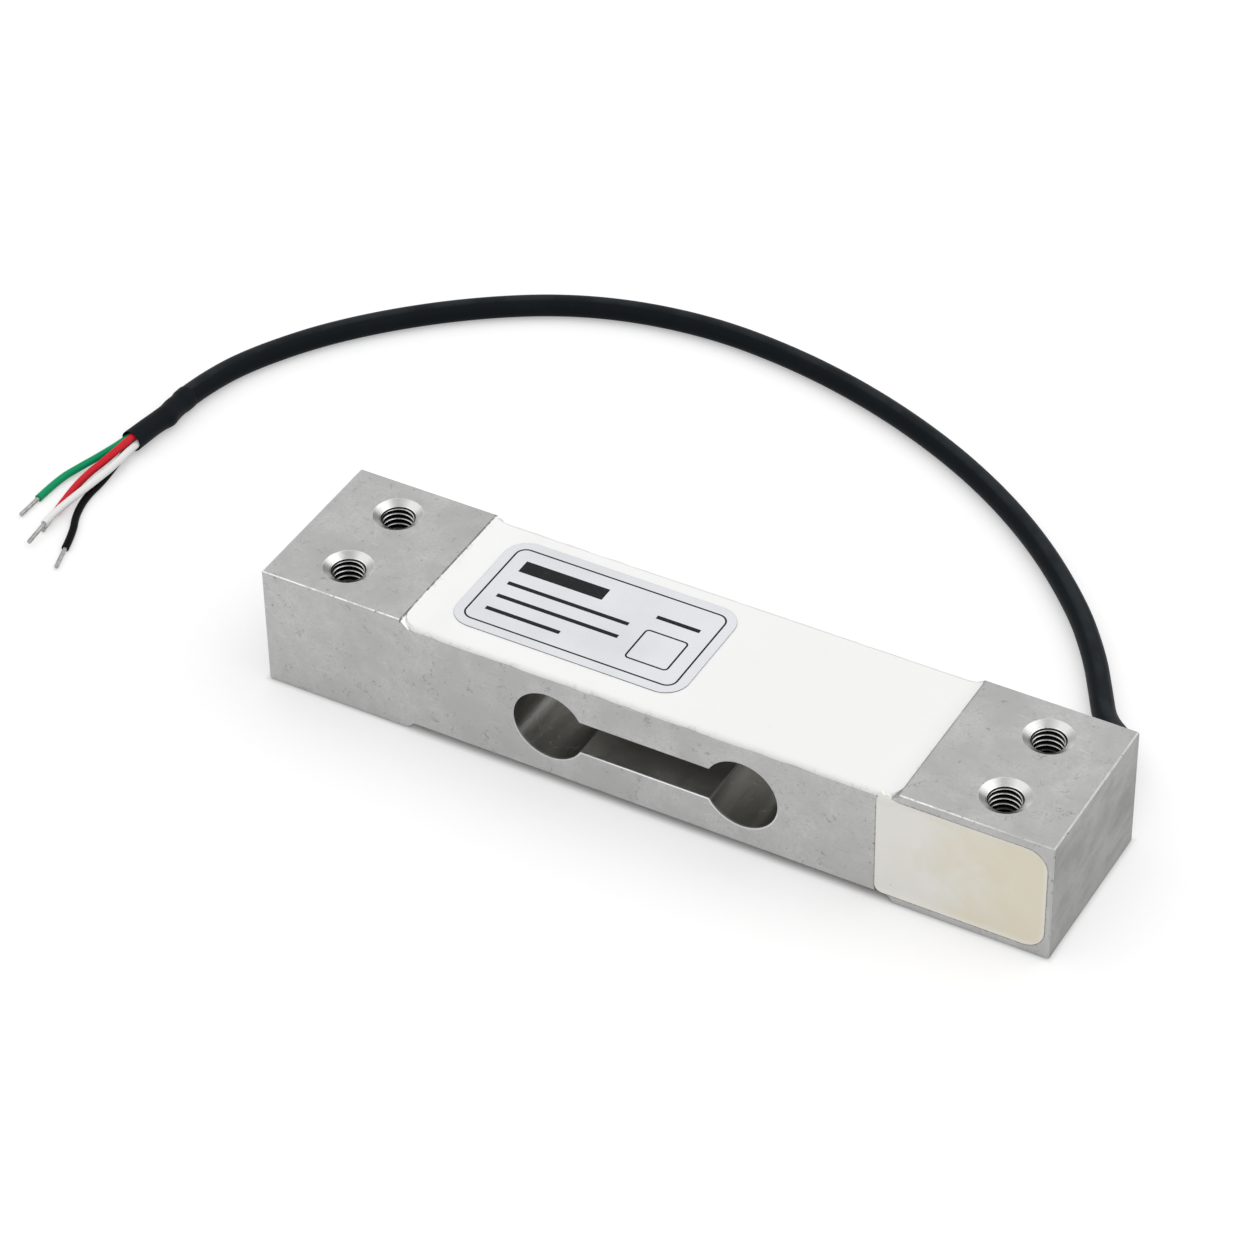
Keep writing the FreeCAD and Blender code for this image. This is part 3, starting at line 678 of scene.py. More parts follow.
@dataclass(frozen=True)
class MilledAluminium:
    """Satin milled aluminium with faint marks, broken edges and bright countersinks with painted highlights,
    and darker bores with painted light and shade.
    """

    pale: Colour = (0.565, 0.565, 0.563)
    dull: Colour = (0.445, 0.443, 0.439)
    mark: Colour = (0.15, 0.148, 0.142)
    sawn: Colour = (0.27, 0.268, 0.263)
    # Bright tone of some scratches and of the painted highlights on edges, slopes and the opening's rim.
    edge: Colour = (0.95, 0.95, 0.945)
    side_edge: Colour = (0.40, 0.40, 0.396)
    # Painted highlight and painted shade of the countersinks, picked by side round the hole.
    cone: Colour = (0.80, 0.80, 0.795)
    cone_painted_shade: Colour = (0.24, 0.24, 0.236)
    # Wall tones of the opening: a darker tone, a lighter painted sheen, and the slot's painted shade deep in
    # and painted light near the faces.
    bore: Colour = (0.22, 0.217, 0.205)
    bore_painted_sheen: Colour = (0.64, 0.634, 0.605)
    slot: Colour = (0.29, 0.285, 0.27)
    slot_front_painted_light: Colour = (0.66, 0.65, 0.62)
    wipe_turn: Point = (35, 0, 0)
    top_edge: Pair = (0.02180, 0.02186)

    def lay_marks(self, palette: Palette) -> Socket:
        """Lay specks, scratches and hair marks on the metal.

        Args:
            palette: Material being made.

        Returns:
            Socket that is 1 in a dark mark.
        """
        specks = palette.math(
            "MAXIMUM",
            palette.specks(330.0, 0.09, 0.86),
            palette.specks(150.0, 0.05, 0.75),
            palette.math("MULTIPLY", palette.specks(900.0, 0.16, 0.90), 0.6),
        )
        lines = palette.math(
            "MAXIMUM",
            palette.scratches((0, 0, 37), 0.006, 0.0002, 0.71),
            palette.scratches((20, 60, -28), 0.004, 0.00016, 0.71),
            palette.hairs(520.0, 0.022, 560.0),
        )
        marked = palette.math("MAXIMUM", specks, palette.math("MULTIPLY", lines, 0.55))
        palette.coat(self.mark, marked, 0.7)
        palette.coat(self.edge, palette.scratches((10, -35, 62), 0.005, 0.00016, 0.70), 0.35)
        return marked

    def lay_ends(self, palette: Palette, ends: Socket) -> None:
        """Darken the sawn ends, with wiped streaks and soft stains.

        Args:
            palette: Material being made.
            ends: Mask of the ends.
        """
        streaked = palette.stretched((200.0, 130.0, 260.0), self.wipe_turn)
        wiped = palette.noise(1.0, 5.0, 0.66, streaked, 0.3)
        spread = palette.stretched((70.0, 55.0, 120.0), self.wipe_turn, (0.0, 0.4, 0.1))
        stain = palette.noise(1.0, 4.0, 0.6, spread, 0.4)
        palette.coat(self.sawn, ends, 0.66)
        palette.coat(self.mark, ends, palette.span(wiped, 0.40, 0.74, 0.0, 0.42))
        palette.coat(self.mark, ends, palette.span(stain, 0.46, 0.66, 0.0, 0.34))

    def wall_colour(self, palette: Palette, slot: Socket) -> Socket:
        """Colour of the walls of the dumbbell opening, with painted light and shade.

        Args:
            palette: Material being made.
            slot: Mask of the stretch of the slot.

        Returns:
            Socket with the colour.
        """
        _, y, z = palette.axes()
        depth = palette.math("ABSOLUTE", y)
        lengthwise = palette.stretched((230.0, 34.0, 230.0), shift=(0.3, 0.0, 0.2))
        bands = palette.noise(1.0, 4.0, 0.6, lengthwise, 0.7)
        # Share of painted light: darker near the front face and toward the bottom, lighter deep in and high
        # up, in streaky bands.
        painted_light_and_bands = palette.math(
            "MULTIPLY",
            palette.span(depth, 0.0146, 0.0060, 0.40, 1.0),
            palette.span(bands, 0.38, 0.60, 0.35, 1.0),
            palette.span(z, 0.0055, 0.0125, 0.35, 1.0),
        )
        streaks = palette.math("MULTIPLY", palette.hairs(300.0, 0.03, 260.0), 0.3)
        bore_wall = palette.blend(streaks, palette.blend(painted_light_and_bands, self.bore, self.bore_painted_sheen), self.edge)
        # Painted shade deep in the slot, painted light toward the faces.
        slot_wall = palette.blend(palette.span(depth, 0.0085, 0.0148), self.slot, self.slot_front_painted_light)
        slot_share = palette.math("MULTIPLY", slot, palette.span(bands, 0.36, 0.60, 0.75, 1.0))
        return palette.blend(slot_share, bore_wall, slot_wall)

    def lay_edges(
        self, palette: Palette, places: BeamPlaces, hollows: Socket, smear: Socket, rub: Socket
    ) -> None:
        """Lay painted highlights, darker tones and worn nicks along the broken edges.

        Args:
            palette: Material being made.
            places: Masks of the beam's places.
            hollows: Mask of the bores and countersinks, which have no broken edges of their own.
            smear: Soft noise of the surface.
            rub: Finer noise of the surface.
        """
        x, _, z = palette.axes()
        tilted, upward = palette.tilt()
        chamfers = palette.math("MULTIPLY", tilted, palette.math("SUBTRACT", 1.0, hollows))
        top = palette.math("MULTIPLY", palette.span(upward, 0.2, 0.6), palette.span(z, *self.top_edge))
        lit = palette.span(x, 0.047, 0.062, 0.95, 0.3)
        nicks = palette.span(palette.noise(1100.0, 4.0, 0.7), 0.60, 0.66, 0.0, 0.7)
        # Painted light on the slopes at the load end, dull tone on those at the cable end.
        painted_slope_light = palette.blend(palette.math("GREATER_THAN", x, 0.0), self.edge, self.dull)
        # Chamfers a little darker, and those that face up at the top painted bright as a highlight that
        # fades toward the cable end.
        palette.coat(self.side_edge, chamfers, 0.3)
        palette.coat(self.edge, chamfers, top, lit, palette.span(smear, 0.38, 0.56, 0.45, 1.0))
        palette.coat(self.mark, chamfers, nicks)
        palette.coat(painted_slope_light, chamfers, places.slopes())
        palette.coat(self.mark, places.pocket_line(), palette.span(rub, 0.4, 0.6, 0.25, 0.8))
        palette.coat(self.mark, places.pad_seams())
        # Painted highlight along the opening's lower rim, strongest under the slot and weaker at the load
        # end.
        shine = palette.span(palette.math("ABSOLUTE", x), 0.0100, 0.0130, 1.0, 0.4)
        palette.coat(self.edge, places.opening_painted_highlight(), shine, palette.span(x, -0.009, -0.003, 0.55, 1.0))

    def material(self) -> bpy.types.Material:
        """Make the material.

        Returns:
            The finished material.
        """
        palette = Palette("milled_aluminium", self.dull)
        places = BeamPlaces(palette)
        cloud = palette.noise(110.0, 5.0, 0.6, distortion=0.5)
        smear = palette.noise(420.0, 4.0, 0.65, distortion=1.2)
        rub = palette.noise(1300.0, 5.0, 0.7, distortion=2.5)
        skin = palette.noise(900.0, 3.0, 0.6, distortion=0.6)
        grain = palette.noise(7000.0, 3.0, 0.65)
        palette.coat(self.pale, palette.span(cloud, 0.3, 0.7))
        palette.coat(self.dull, palette.span(smear, 0.56, 0.75, 0.0, 0.4))
        palette.coat(self.dull, palette.span(rub, 0.44, 0.60, 0.0, 0.6))
        palette.coat(self.dull, palette.span(skin, 0.42, 0.66, 0.0, 0.35))
        palette.coat(self.mark, palette.span(grain, 0.35, 0.75, 0.0, 0.12))
        marked = self.lay_marks(palette)
        self.lay_ends(palette, places.ends())
        cones = places.countersinks()
        # Painted highlight and painted shade in the countersinks.
        sectors = PaintedHoleLight(places.hole_place).share(palette)
        palette.coat(palette.blend(sectors, self.cone_painted_shade, self.cone), cones)
        bores = places.bore_walls()
        palette.coat(self.wall_colour(palette, places.slot_stretch()), bores, 0.9)
        self.lay_edges(palette, places, palette.math("MAXIMUM", bores, cones), smear, rub)
        rough = palette.span(cloud, 0.25, 0.75, 0.36, 0.48)
        for mask, change in ((marked, 0.15), (cones, -0.14), (bores, -0.10)):
            rough = palette.math("ADD", rough, palette.math("MULTIPLY", mask, change))
        metallic = palette.math("SUBTRACT", 1.0, palette.math("MULTIPLY", bores, 0.05))
        rounded = palette.rounded_edges(0.00014)[1]
        palette.bump((grain, 0.000003), (marked, -0.00002), (cloud, 0.00003), normal=rounded)
        return palette.finish(Metallic=metallic, Roughness=rough)


@dataclass(frozen=True)
class CutThread:
    """Cut thread with painted highlights on the crests, painted shade by side round the hole, and painted
    shade in the roots and further down. Metres.
    """

    # Painted highlight, painted shade by side, and the near-black painted shade of the roots.
    crest: Colour = (0.95, 0.95, 0.94)
    shaded: Colour = (0.16, 0.16, 0.157)
    root: Colour = (0.008, 0.008, 0.008)
    painted_light_heights: Pair = (0.0168, 0.0188)

    def material(self) -> bpy.types.Material:
        """Make the material.

        Returns:
            The finished material.
        """
        palette = Palette("cut_thread", self.root)
        streaks = palette.noise(2500.0, 3.0, 0.6)
        # Crests lit or shaded by side round the hole, fading to the roots' painted shade further down the
        # hole.
        sides = palette.blend(PaintedHoleLight().share(palette), self.shaded, self.crest)
        ridge = palette.blend(palette.span(palette.axes()[2], *self.painted_light_heights), self.root, sides)
        palette.coat(ridge, palette.span(palette.attribute("crest"), 0.66, 0.98))
        palette.coat(self.root, palette.span(streaks, 0.5, 0.8, 0.0, 0.35))
        palette.bump((streaks, 0.00001))
        return palette.finish(Metallic=1.0, Roughness=palette.span(streaks, 0.3, 0.7, 0.22, 0.34))


@dataclass(frozen=True)
class WhiteSealant:
    """White cured silicone with a soft sheen, faint handling marks and painted shade along the back edge.
    Metres.
    """

    body: Colour = (0.90, 0.90, 0.893)
    shade: Colour = (0.86, 0.86, 0.85)
    smudge: Colour = (0.50, 0.50, 0.49)
    painted_back_shade: Colour = (0.46, 0.46, 0.455)
    drift: Pair = (-0.02, 0.02)
    back_edge: Pair = (0.01405, 0.0147)

    def material(self) -> bpy.types.Material:
        """Make the material.

        Returns:
            The finished material.
        """
        palette = Palette("white_sealant", self.body)
        x, y, _ = palette.axes()
        cloud = palette.noise(120.0, 4.0, 0.55)
        fine = palette.noise(2600.0, 3.0, 0.55)
        dirt = palette.span(palette.noise(700.0, 4.0, 0.65), 0.52, 0.68, 0.0, 0.5)
        palette.coat(self.shade, palette.span(x, *self.drift, 0.0, 0.6))
        palette.coat(self.shade, palette.span(cloud, 0.42, 0.8, 0.0, 0.6))
        palette.coat(self.smudge, palette.specks(210.0, 0.08, 0.9), 0.5)
        # Painted shade along the back edge.
        palette.coat(self.painted_back_shade, palette.span(y, *self.back_edge, 0.0, 0.75))
        palette.coat(self.smudge, palette.attribute("border"), dirt)
        palette.bump((fine, 0.000012), (cloud, 0.00008))
        return palette.finish(Roughness=palette.span(cloud, 0.3, 0.7, 0.38, 0.52), IOR=1.42)


@dataclass(frozen=True)
class CreamPotting:
    """Cured cream resin, whiter at one end and along its rim, where the white is a painted highlight.
    Metres.
    """

    warm: Colour = (0.885, 0.825, 0.66)
    pale: Colour = (0.95, 0.935, 0.885)
    # Painted highlight of the rim.
    rim: Colour = (0.95, 0.93, 0.87)
    stain: Colour = (0.42, 0.37, 0.27)
    drift: Pair = (0.042, 0.064)

    def material(self) -> bpy.types.Material:
        """Make the material.

        Returns:
            The finished material.
        """
        palette = Palette("cream_potting", self.pale)
        cloud = palette.noise(150.0, 4.0, 0.55, distortion=0.5)
        fine = palette.noise(1800.0, 3.0, 0.5)
        along = palette.math("ADD", palette.axes()[0], palette.span(cloud, 0.2, 0.8, -0.006, 0.006))
        palette.coat(self.warm, palette.span(along, *self.drift))
        # Painted highlight along the rim.
        palette.coat(self.rim, palette.attribute("border"), 0.75)
        palette.coat(self.stain, palette.specks(260.0, 0.06, 0.9), 0.35)
        palette.bump((fine, 0.000008), (cloud, 0.00012))
        return palette.finish(Roughness=palette.span(cloud, 0.3, 0.7, 0.30, 0.42), IOR=1.5)


@dataclass(frozen=True)
class SilverFilm:
    """Silver-grey label film with a fine grain and dark cut sides."""

    body: Colour = (0.765, 0.775, 0.805)
    shade: Colour = (0.69, 0.70, 0.73)
    edge: Colour = (0.40, 0.405, 0.42)
    side: Colour = (0.07, 0.07, 0.074)

    def material(self) -> bpy.types.Material:
        """Make the material.

        Returns:
            The finished material.
        """
        palette = Palette("silver_film", self.body)
        cloud = palette.noise(70.0, 3.0, 0.5)
        grain = palette.noise(5200.0, 2.0, 0.6)
        palette.coat(self.shade, palette.span(cloud, 0.3, 0.75))
        palette.coat(self.edge, palette.span(grain, 0.45, 0.75, 0.0, 0.18))
        palette.coat(self.edge, palette.rounded_edges(0.00012)[0], 0.8)
        palette.coat(self.side, palette.span(palette.tilt()[1], 0.8, 0.4))
        palette.bump((grain, 0.000004), (cloud, 0.00004))
        return palette.finish(Metallic=0.15, Roughness=palette.span(grain, 0.3, 0.7, 0.34, 0.44))


@dataclass(frozen=True)
class SoftSheath:
    """Moulded sheath or sleeve with a fine skin, dust and slight colour drift."""

    name: str
    body: Colour
    dust: Colour
    roughness: float = 0.42
    dusting: float = 0.25
    gloss: float = 0.5

    def lay_dust_and_sheen(self, palette: Palette, cloud: Socket) -> None:
        """Lay dust and painted sheen from the skin's slow drift, none on a plain sheath."""

    def material(self) -> bpy.types.Material:
        """Make the material.

        Returns:
            The finished material.
        """
        palette = Palette(self.name, self.body)
        cloud = palette.noise(160.0, 4.0, 0.6)
        skin = palette.noise(3200.0, 3.0, 0.6)
        palette.coat(self.dust, palette.span(cloud, 0.45, 0.8, 0.0, self.dusting))
        palette.coat(self.dust, palette.specks(900.0, 0.12, 0.92), 0.4)
        self.lay_dust_and_sheen(palette, cloud)
        rough = palette.span(cloud, 0.25, 0.75, self.roughness - 0.05, self.roughness + 0.07)
        palette.bump((skin, 0.00001), (cloud, 0.00005))
        return palette.finish(Roughness=rough, Specular_IOR_Level=self.gloss)


@dataclass(frozen=True)
class CableSheath(SoftSheath):
    """Sheath of the signal cable, lighter along its upper side with dust and a painted sheen."""

    dust_and_sheen: Colour = (0.025, 0.029, 0.033)

    def lay_dust_and_sheen(self, palette: Palette, cloud: Socket) -> None:
        """Lay dust and painted sheen, thicker in patches of the slow drift, on the upper side."""
        patchy = palette.span(cloud, 0.36, 0.58, 0.35, 0.85)
        # Lighter where the surface faces up: dust together with a painted sheen.
        palette.coat(self.dust_and_sheen, palette.span(palette.upward(), 0.84, 1.0), patchy)


@dataclass(frozen=True)
class PatchyFinish:
    """Plain finish in two patchy tones. Relief in metres."""

    name: str
    body: Colour
    shade: Colour
    scale: float = 800.0
    patches: Pair = (0.35, 0.7)
    relief: float = 0.00001
    roughness: Pair = (0.4, 0.55)
    metallic: float = 0.0
    gloss: float = 0.5
    grooves: float = 0.0

    def material(self) -> bpy.types.Material:
        """Make the material.

        Returns:
            The finished material.
        """
        palette = Palette(self.name, self.body)
        patch = palette.noise(self.scale, 4.0, 0.6)
        palette.coat(self.shade, palette.span(patch, *self.patches))
        # Painted shade in the grooves between the strands.
        if self.grooves:
            palette.coat(self.shade, palette.attribute("groove"), self.grooves)
        palette.bump((patch, self.relief))
        rough = palette.span(patch, 0.3, 0.7, *self.roughness)
        return palette.finish(Metallic=self.metallic, Roughness=rough, Specular_IOR_Level=self.gloss)


@dataclass(frozen=True)
class PrintInk(PatchyFinish):
    """Flat dark ink of the label's rules and fields."""

    name: str = "print_ink"
    body: Colour = (0.010, 0.0105, 0.012)
    shade: Colour = (0.026, 0.027, 0.030)
    scale: float = 1900.0
    patches: Pair = (0.5, 0.8)
    relief: float = 0.000003
    roughness: Pair = (0.5, 0.5)
    gloss: float = 0.12


@dataclass(frozen=True)
class TinnedStrands(PatchyFinish):
    """Dull tin over twisted strands."""

    name: str = "tinned_strands"
    body: Colour = (0.47, 0.47, 0.46)
    shade: Colour = (0.30, 0.295, 0.285)
    scale: float = 1500.0
    patches: Pair = (0.35, 0.75)
    relief: float = 0.00002
    roughness: Pair = (0.34, 0.5)
    metallic: float = 0.9
    grooves: float = 0.3


def store_number(piece: bpy.types.Object, name: str, values: Sequence[float]) -> None:
    """Keep one number on each vertex of a piece, as a named attribute."""
    attribute = piece.data.attributes.new(name, "FLOAT", "POINT")
    attribute.data.foreach_set("value", list(values))


def rounded_place(offset: Pair, half: Pair, corners: Corners) -> Pair:
    """Move a place of a plain rectangle into its outline with rounded corners.

    Args:
        offset: Place from the rectangle's middle.
        half: Half of each of the rectangle's sides.
        corners: Radius of each corner, by its side of both axes.

    Returns:
        The place in the rounded outline, from the middle too.
    """
    side = tuple(1 if part > 0 else -1 for part in offset)
    radius = corners[side]
    across, along = [(abs(part) - (reach - radius)) / radius for part, reach in zip(offset, half)]
    if across <= 0 or along <= 0:
        return offset
    disc = (across * math.sqrt(1 - along * along / 2), along * math.sqrt(1 - across * across / 2))
    return tuple(sign * (reach - radius + part * radius) for sign, reach, part in zip(side, half, disc))


@dataclass
class Sealant:
    """White sealant in one recess, drawn up the pads and rolled over along both sides. Millimetres."""

    level: Level
    half_width: float
    lip: float = 42.92
    floor_edge: float = 41.5
    beam_height: float = 22.0
    floor: float = 20.5
    thickness: float = 0.7
    edge_thickness: float = 0.16
    least_thickness: float = 0.012
    rise_start: float = 39.4
    rise_height: float = 0.72
    rise_power: float = 2.3
    roll: float = 0.9
    sag: float = 0.035
    wave: float = 0.03
    ripple: float = 0.008
    calm_reach: float = 2.5
    scallop: float = 0.14
    scallop_start: float = 0.9
    border: float = 0.6
    corners: Corners = field(default_factory=lambda: {
        (-1, -1): 2.7, (1, -1): 2.3, (-1, 1): 1.2, (1, 1): 1.2})
    label_box: Quad = (-37.7, 3.3, -10.45, 12.05)
    columns: int = 172
    rows: int = 62

    def unevenness(self, x: float, y: float) -> float:
        """Slight waviness of the cast surface, none under the label.

        Args:
            x: Place along the beam.
            y: Place across the beam.

        Returns:
            Height in millimetres, never above zero.
        """
        left, right, low, high = self.label_box
        away = max(left - x, x - right, low - y, y - high, 0.0)
        calm = 1.0 if self.level is Level.BOTTOM else min(1.0, away / self.calm_reach)
        wave = noise.noise(Vector((x * 0.13, y * 0.16, 3.7 * self.level.value)))
        ripple = noise.noise(Vector((x * 0.55, y * 0.6, 9.1)))
        return calm * (-self.sag + self.wave * wave + self.ripple * ripple)

    def height(self, x: float, y: float, base: float) -> float:
        """Thickness of the sealant over the metal.

        Args:
            x: Place along the beam, before the corners are rounded.
            y: Place across the beam, before the corners are rounded.
            base: Height of the metal under it.

        Returns:
            Thickness in millimetres.
        """
        run = max(0.0, (abs(x) - self.rise_start) / (self.lip - self.rise_start))
        full = self.floor + self.thickness + self.rise_height * run ** self.rise_power - base
        full += self.unevenness(x, y)
        roll = self.roll * (1.0 + 0.25 * noise.noise(Vector((x * 0.2, 5.0 if y > 0 else -5.0, 1.3))))
        inward = min(1.0, (self.half_width - abs(y)) / roll)
        share = math.sqrt(max(0.0, 1.0 - (1.0 - inward) ** 2))
        thin = self.edge_thickness * (1.0 + 0.5 * noise.noise(Vector((x * 0.35, y, 7.0))))
        least = min(thin, full)
        return max(self.least_thickness, least + (full - least) * share)

    def place(self, flat_x: float, flat_y: float, upper: bool) -> Vector:
        """Place of one vertex of the grid in the finished sealant.

        Args:
            flat_x: Place along the beam in the plain rectangle.
            flat_y: Place across the beam in the plain rectangle.
            upper: Whether the vertex is on the outer surface.

        Returns:
            The place in metres.
        """
        x, y = rounded_place((flat_x, flat_y), (self.lip, self.half_width), self.corners)
        wave = noise.noise(Vector((x * 0.32, 11.0 if y > 0 else -11.0, 2.4)))
        near_side = max(0.0, abs(flat_y) / self.half_width - self.scallop_start)
        y *= 1.0 - self.scallop * max(0.0, wave) * near_side
        z = self.floor + max(0.0, abs(x) - self.floor_edge)
        if upper:
            z += self.height(flat_x, flat_y, z)
        if self.level is Level.BOTTOM:
            z = self.beam_height - z
        return Vector((x, y, z)) * MM

    def build(self) -> bpy.types.Object:
        """Model the sealant from a fine grid.

        Returns:
            The finished piece.
        """
        bpy.ops.mesh.primitive_grid_add(x_subdivisions=self.columns, y_subdivisions=self.rows, size=1)
        piece = Workbench.started(f"cast_sealant_{self.level.name.lower()}")
        Workbench.pick_all(piece)
        size = (2 * self.lip, 2 * self.half_width, 1.0)
        bpy.ops.transform.resize(value=size, center_override=(0, 0, 0))
        bpy.ops.mesh.extrude_region_move(TRANSFORM_OT_translate={"value": (0, 0, 1)})
        Workbench.clear()
        border = []
        for vertex in piece.data.vertices:
            flat_x, flat_y, lift = vertex.co
            vertex.co = self.place(flat_x, flat_y, lift > 0.5)
            gap = min(self.half_width - abs(flat_y), self.lip - abs(flat_x))
            border.append(max(0.0, 1.0 - gap / self.border))
        store_number(piece, "border", border)
        Workbench.face_outwards(piece)
        Workbench.smooth(piece, 50)
        return piece


@dataclass
class Potting:
    """Resin in the side pocket, its face drawn up to the rim. Millimetres."""

    middle: Pair = (53.5, 11.0)
    half: Pair = (14.0, 9.5)
    front: float = -15.0
    back: float = -11.6
    dip: float = 0.16
    dip_wave: float = 0.35
    meniscus: float = 1.5
    border: float = 0.9
    overrun: float = 0.5
    overrun_wave: float = 0.12
    overrun_ends: Pair = (41.4, 43.4)
    overrun_rise: Pair = (0.3, 1.2)
    overrun_depth: float = 1.6
    film: float = 0.04
    peak: Point = (40.1, 0.6, 0.55)
    peak_foot: float = 0.42
    peak_lean: float = 1.6
    peak_step: float = 0.08
    peak_dome: Pair = (0.42, 0.9)
    corners: Corners = field(default_factory=lambda: {
        (-1, -1): 1.3, (1, -1): 3.5, (-1, 1): 0.5, (1, 1): 3.5})
    columns: int = 112
    rows: int = 76

    def overrun_at(self, x: float) -> float:
        """Height by which the resin ran over the face above the pocket.

        Args:
            x: Place along the beam.

        Returns:
            Height in millimetres.
        """
        first, last = self.overrun_ends
        share = min(1.0, max(0.0, (last - x) / (last - first)))
        wave = self.overrun_wave * noise.noise(Vector((x * 0.45, 0.0, 4.0)))
        start, length = self.overrun_rise
        rise = min(1.0, max(0.0, (x - (self.middle[0] - self.half[0]) - start) / length))
        place, half, height = self.peak
        point = height * max(0.0, 1.0 - abs(x - place) / half)
        return rise * max(0.0, self.overrun * share ** 1.4 + wave * share) + point

    def front_place(self, x: float, z: float, dip: float, over: float) -> Vector:
        """Place of one vertex of the resin's face.

        Args:
            x: Place along the beam.
            z: Height in the pocket's outline.
            dip: Depth of the face behind the metal.
            over: Height by which the resin ran over.

        Returns:
            The place in millimetres.
        """
        film = self.film * min(1.0, 8 * over)
        y = self.front + dip * max(0.0, 1 - 2 * over / self.overrun) - film
        z += min(over, self.peak_foot)
        if over > self.peak_foot:
            lean = self.peak_lean * (over - self.peak_foot)
            dome, reach = self.peak_dome
            z += self.peak_step + dome * math.sqrt(max(0.0, 1.0 - (1.0 - min(1.0, lean / reach)) ** 2))
            y += lean
        return Vector((x, y, z))

    def build(self) -> bpy.types.Object:
        """Model the resin from a fine grid turned to the front.

        Returns:
            The finished piece.
        """
        bpy.ops.mesh.primitive_grid_add(
            x_subdivisions=self.columns, y_subdivisions=self.rows, size=1, rotation=(math.radians(90), 0, 0))
        piece = Workbench.started("cast_potting")
        Workbench.settle(piece)
        Workbench.pick_all(piece)
        bpy.ops.mesh.extrude_region_move(TRANSFORM_OT_translate={"value": (0, 1, 0)})
        Workbench.clear()
        rim = []
        for vertex in piece.data.vertices:
            offset = (2 * self.half[0] * vertex.co.x, 2 * self.half[1] * vertex.co.z)
            flat_x, flat_z = [middle + part for middle, part in zip(self.middle, offset)]
            gap = min(half - abs(part) for half, part in zip(self.half, offset))
            inward = min(1.0, gap / self.meniscus)
            wave = noise.noise(Vector((flat_x * 0.25, 2.0, flat_z * 0.25)))
            dip = self.dip * (1 - (1 - inward) ** 2) * (1.0 + self.dip_wave * wave)
            rounded = rounded_place(offset, self.half, self.corners)
            x, z = [middle + part for middle, part in zip(self.middle, rounded)]
            if vertex.co.y < 0.5:
                nearness = max(0.0, 1 - (self.half[1] - offset[1]) / self.overrun_depth)
                place = self.front_place(x, z, dip, self.overrun_at(flat_x) * nearness ** 1.5)
            else:
                place = Vector((x, self.back, z))
            vertex.co = place * MM
            rim.append(max(0.0, 1.0 - gap / self.border))
        store_number(piece, "border", rim)
        Workbench.face_outwards(piece)
        Workbench.smooth(piece, 50)
        return piece


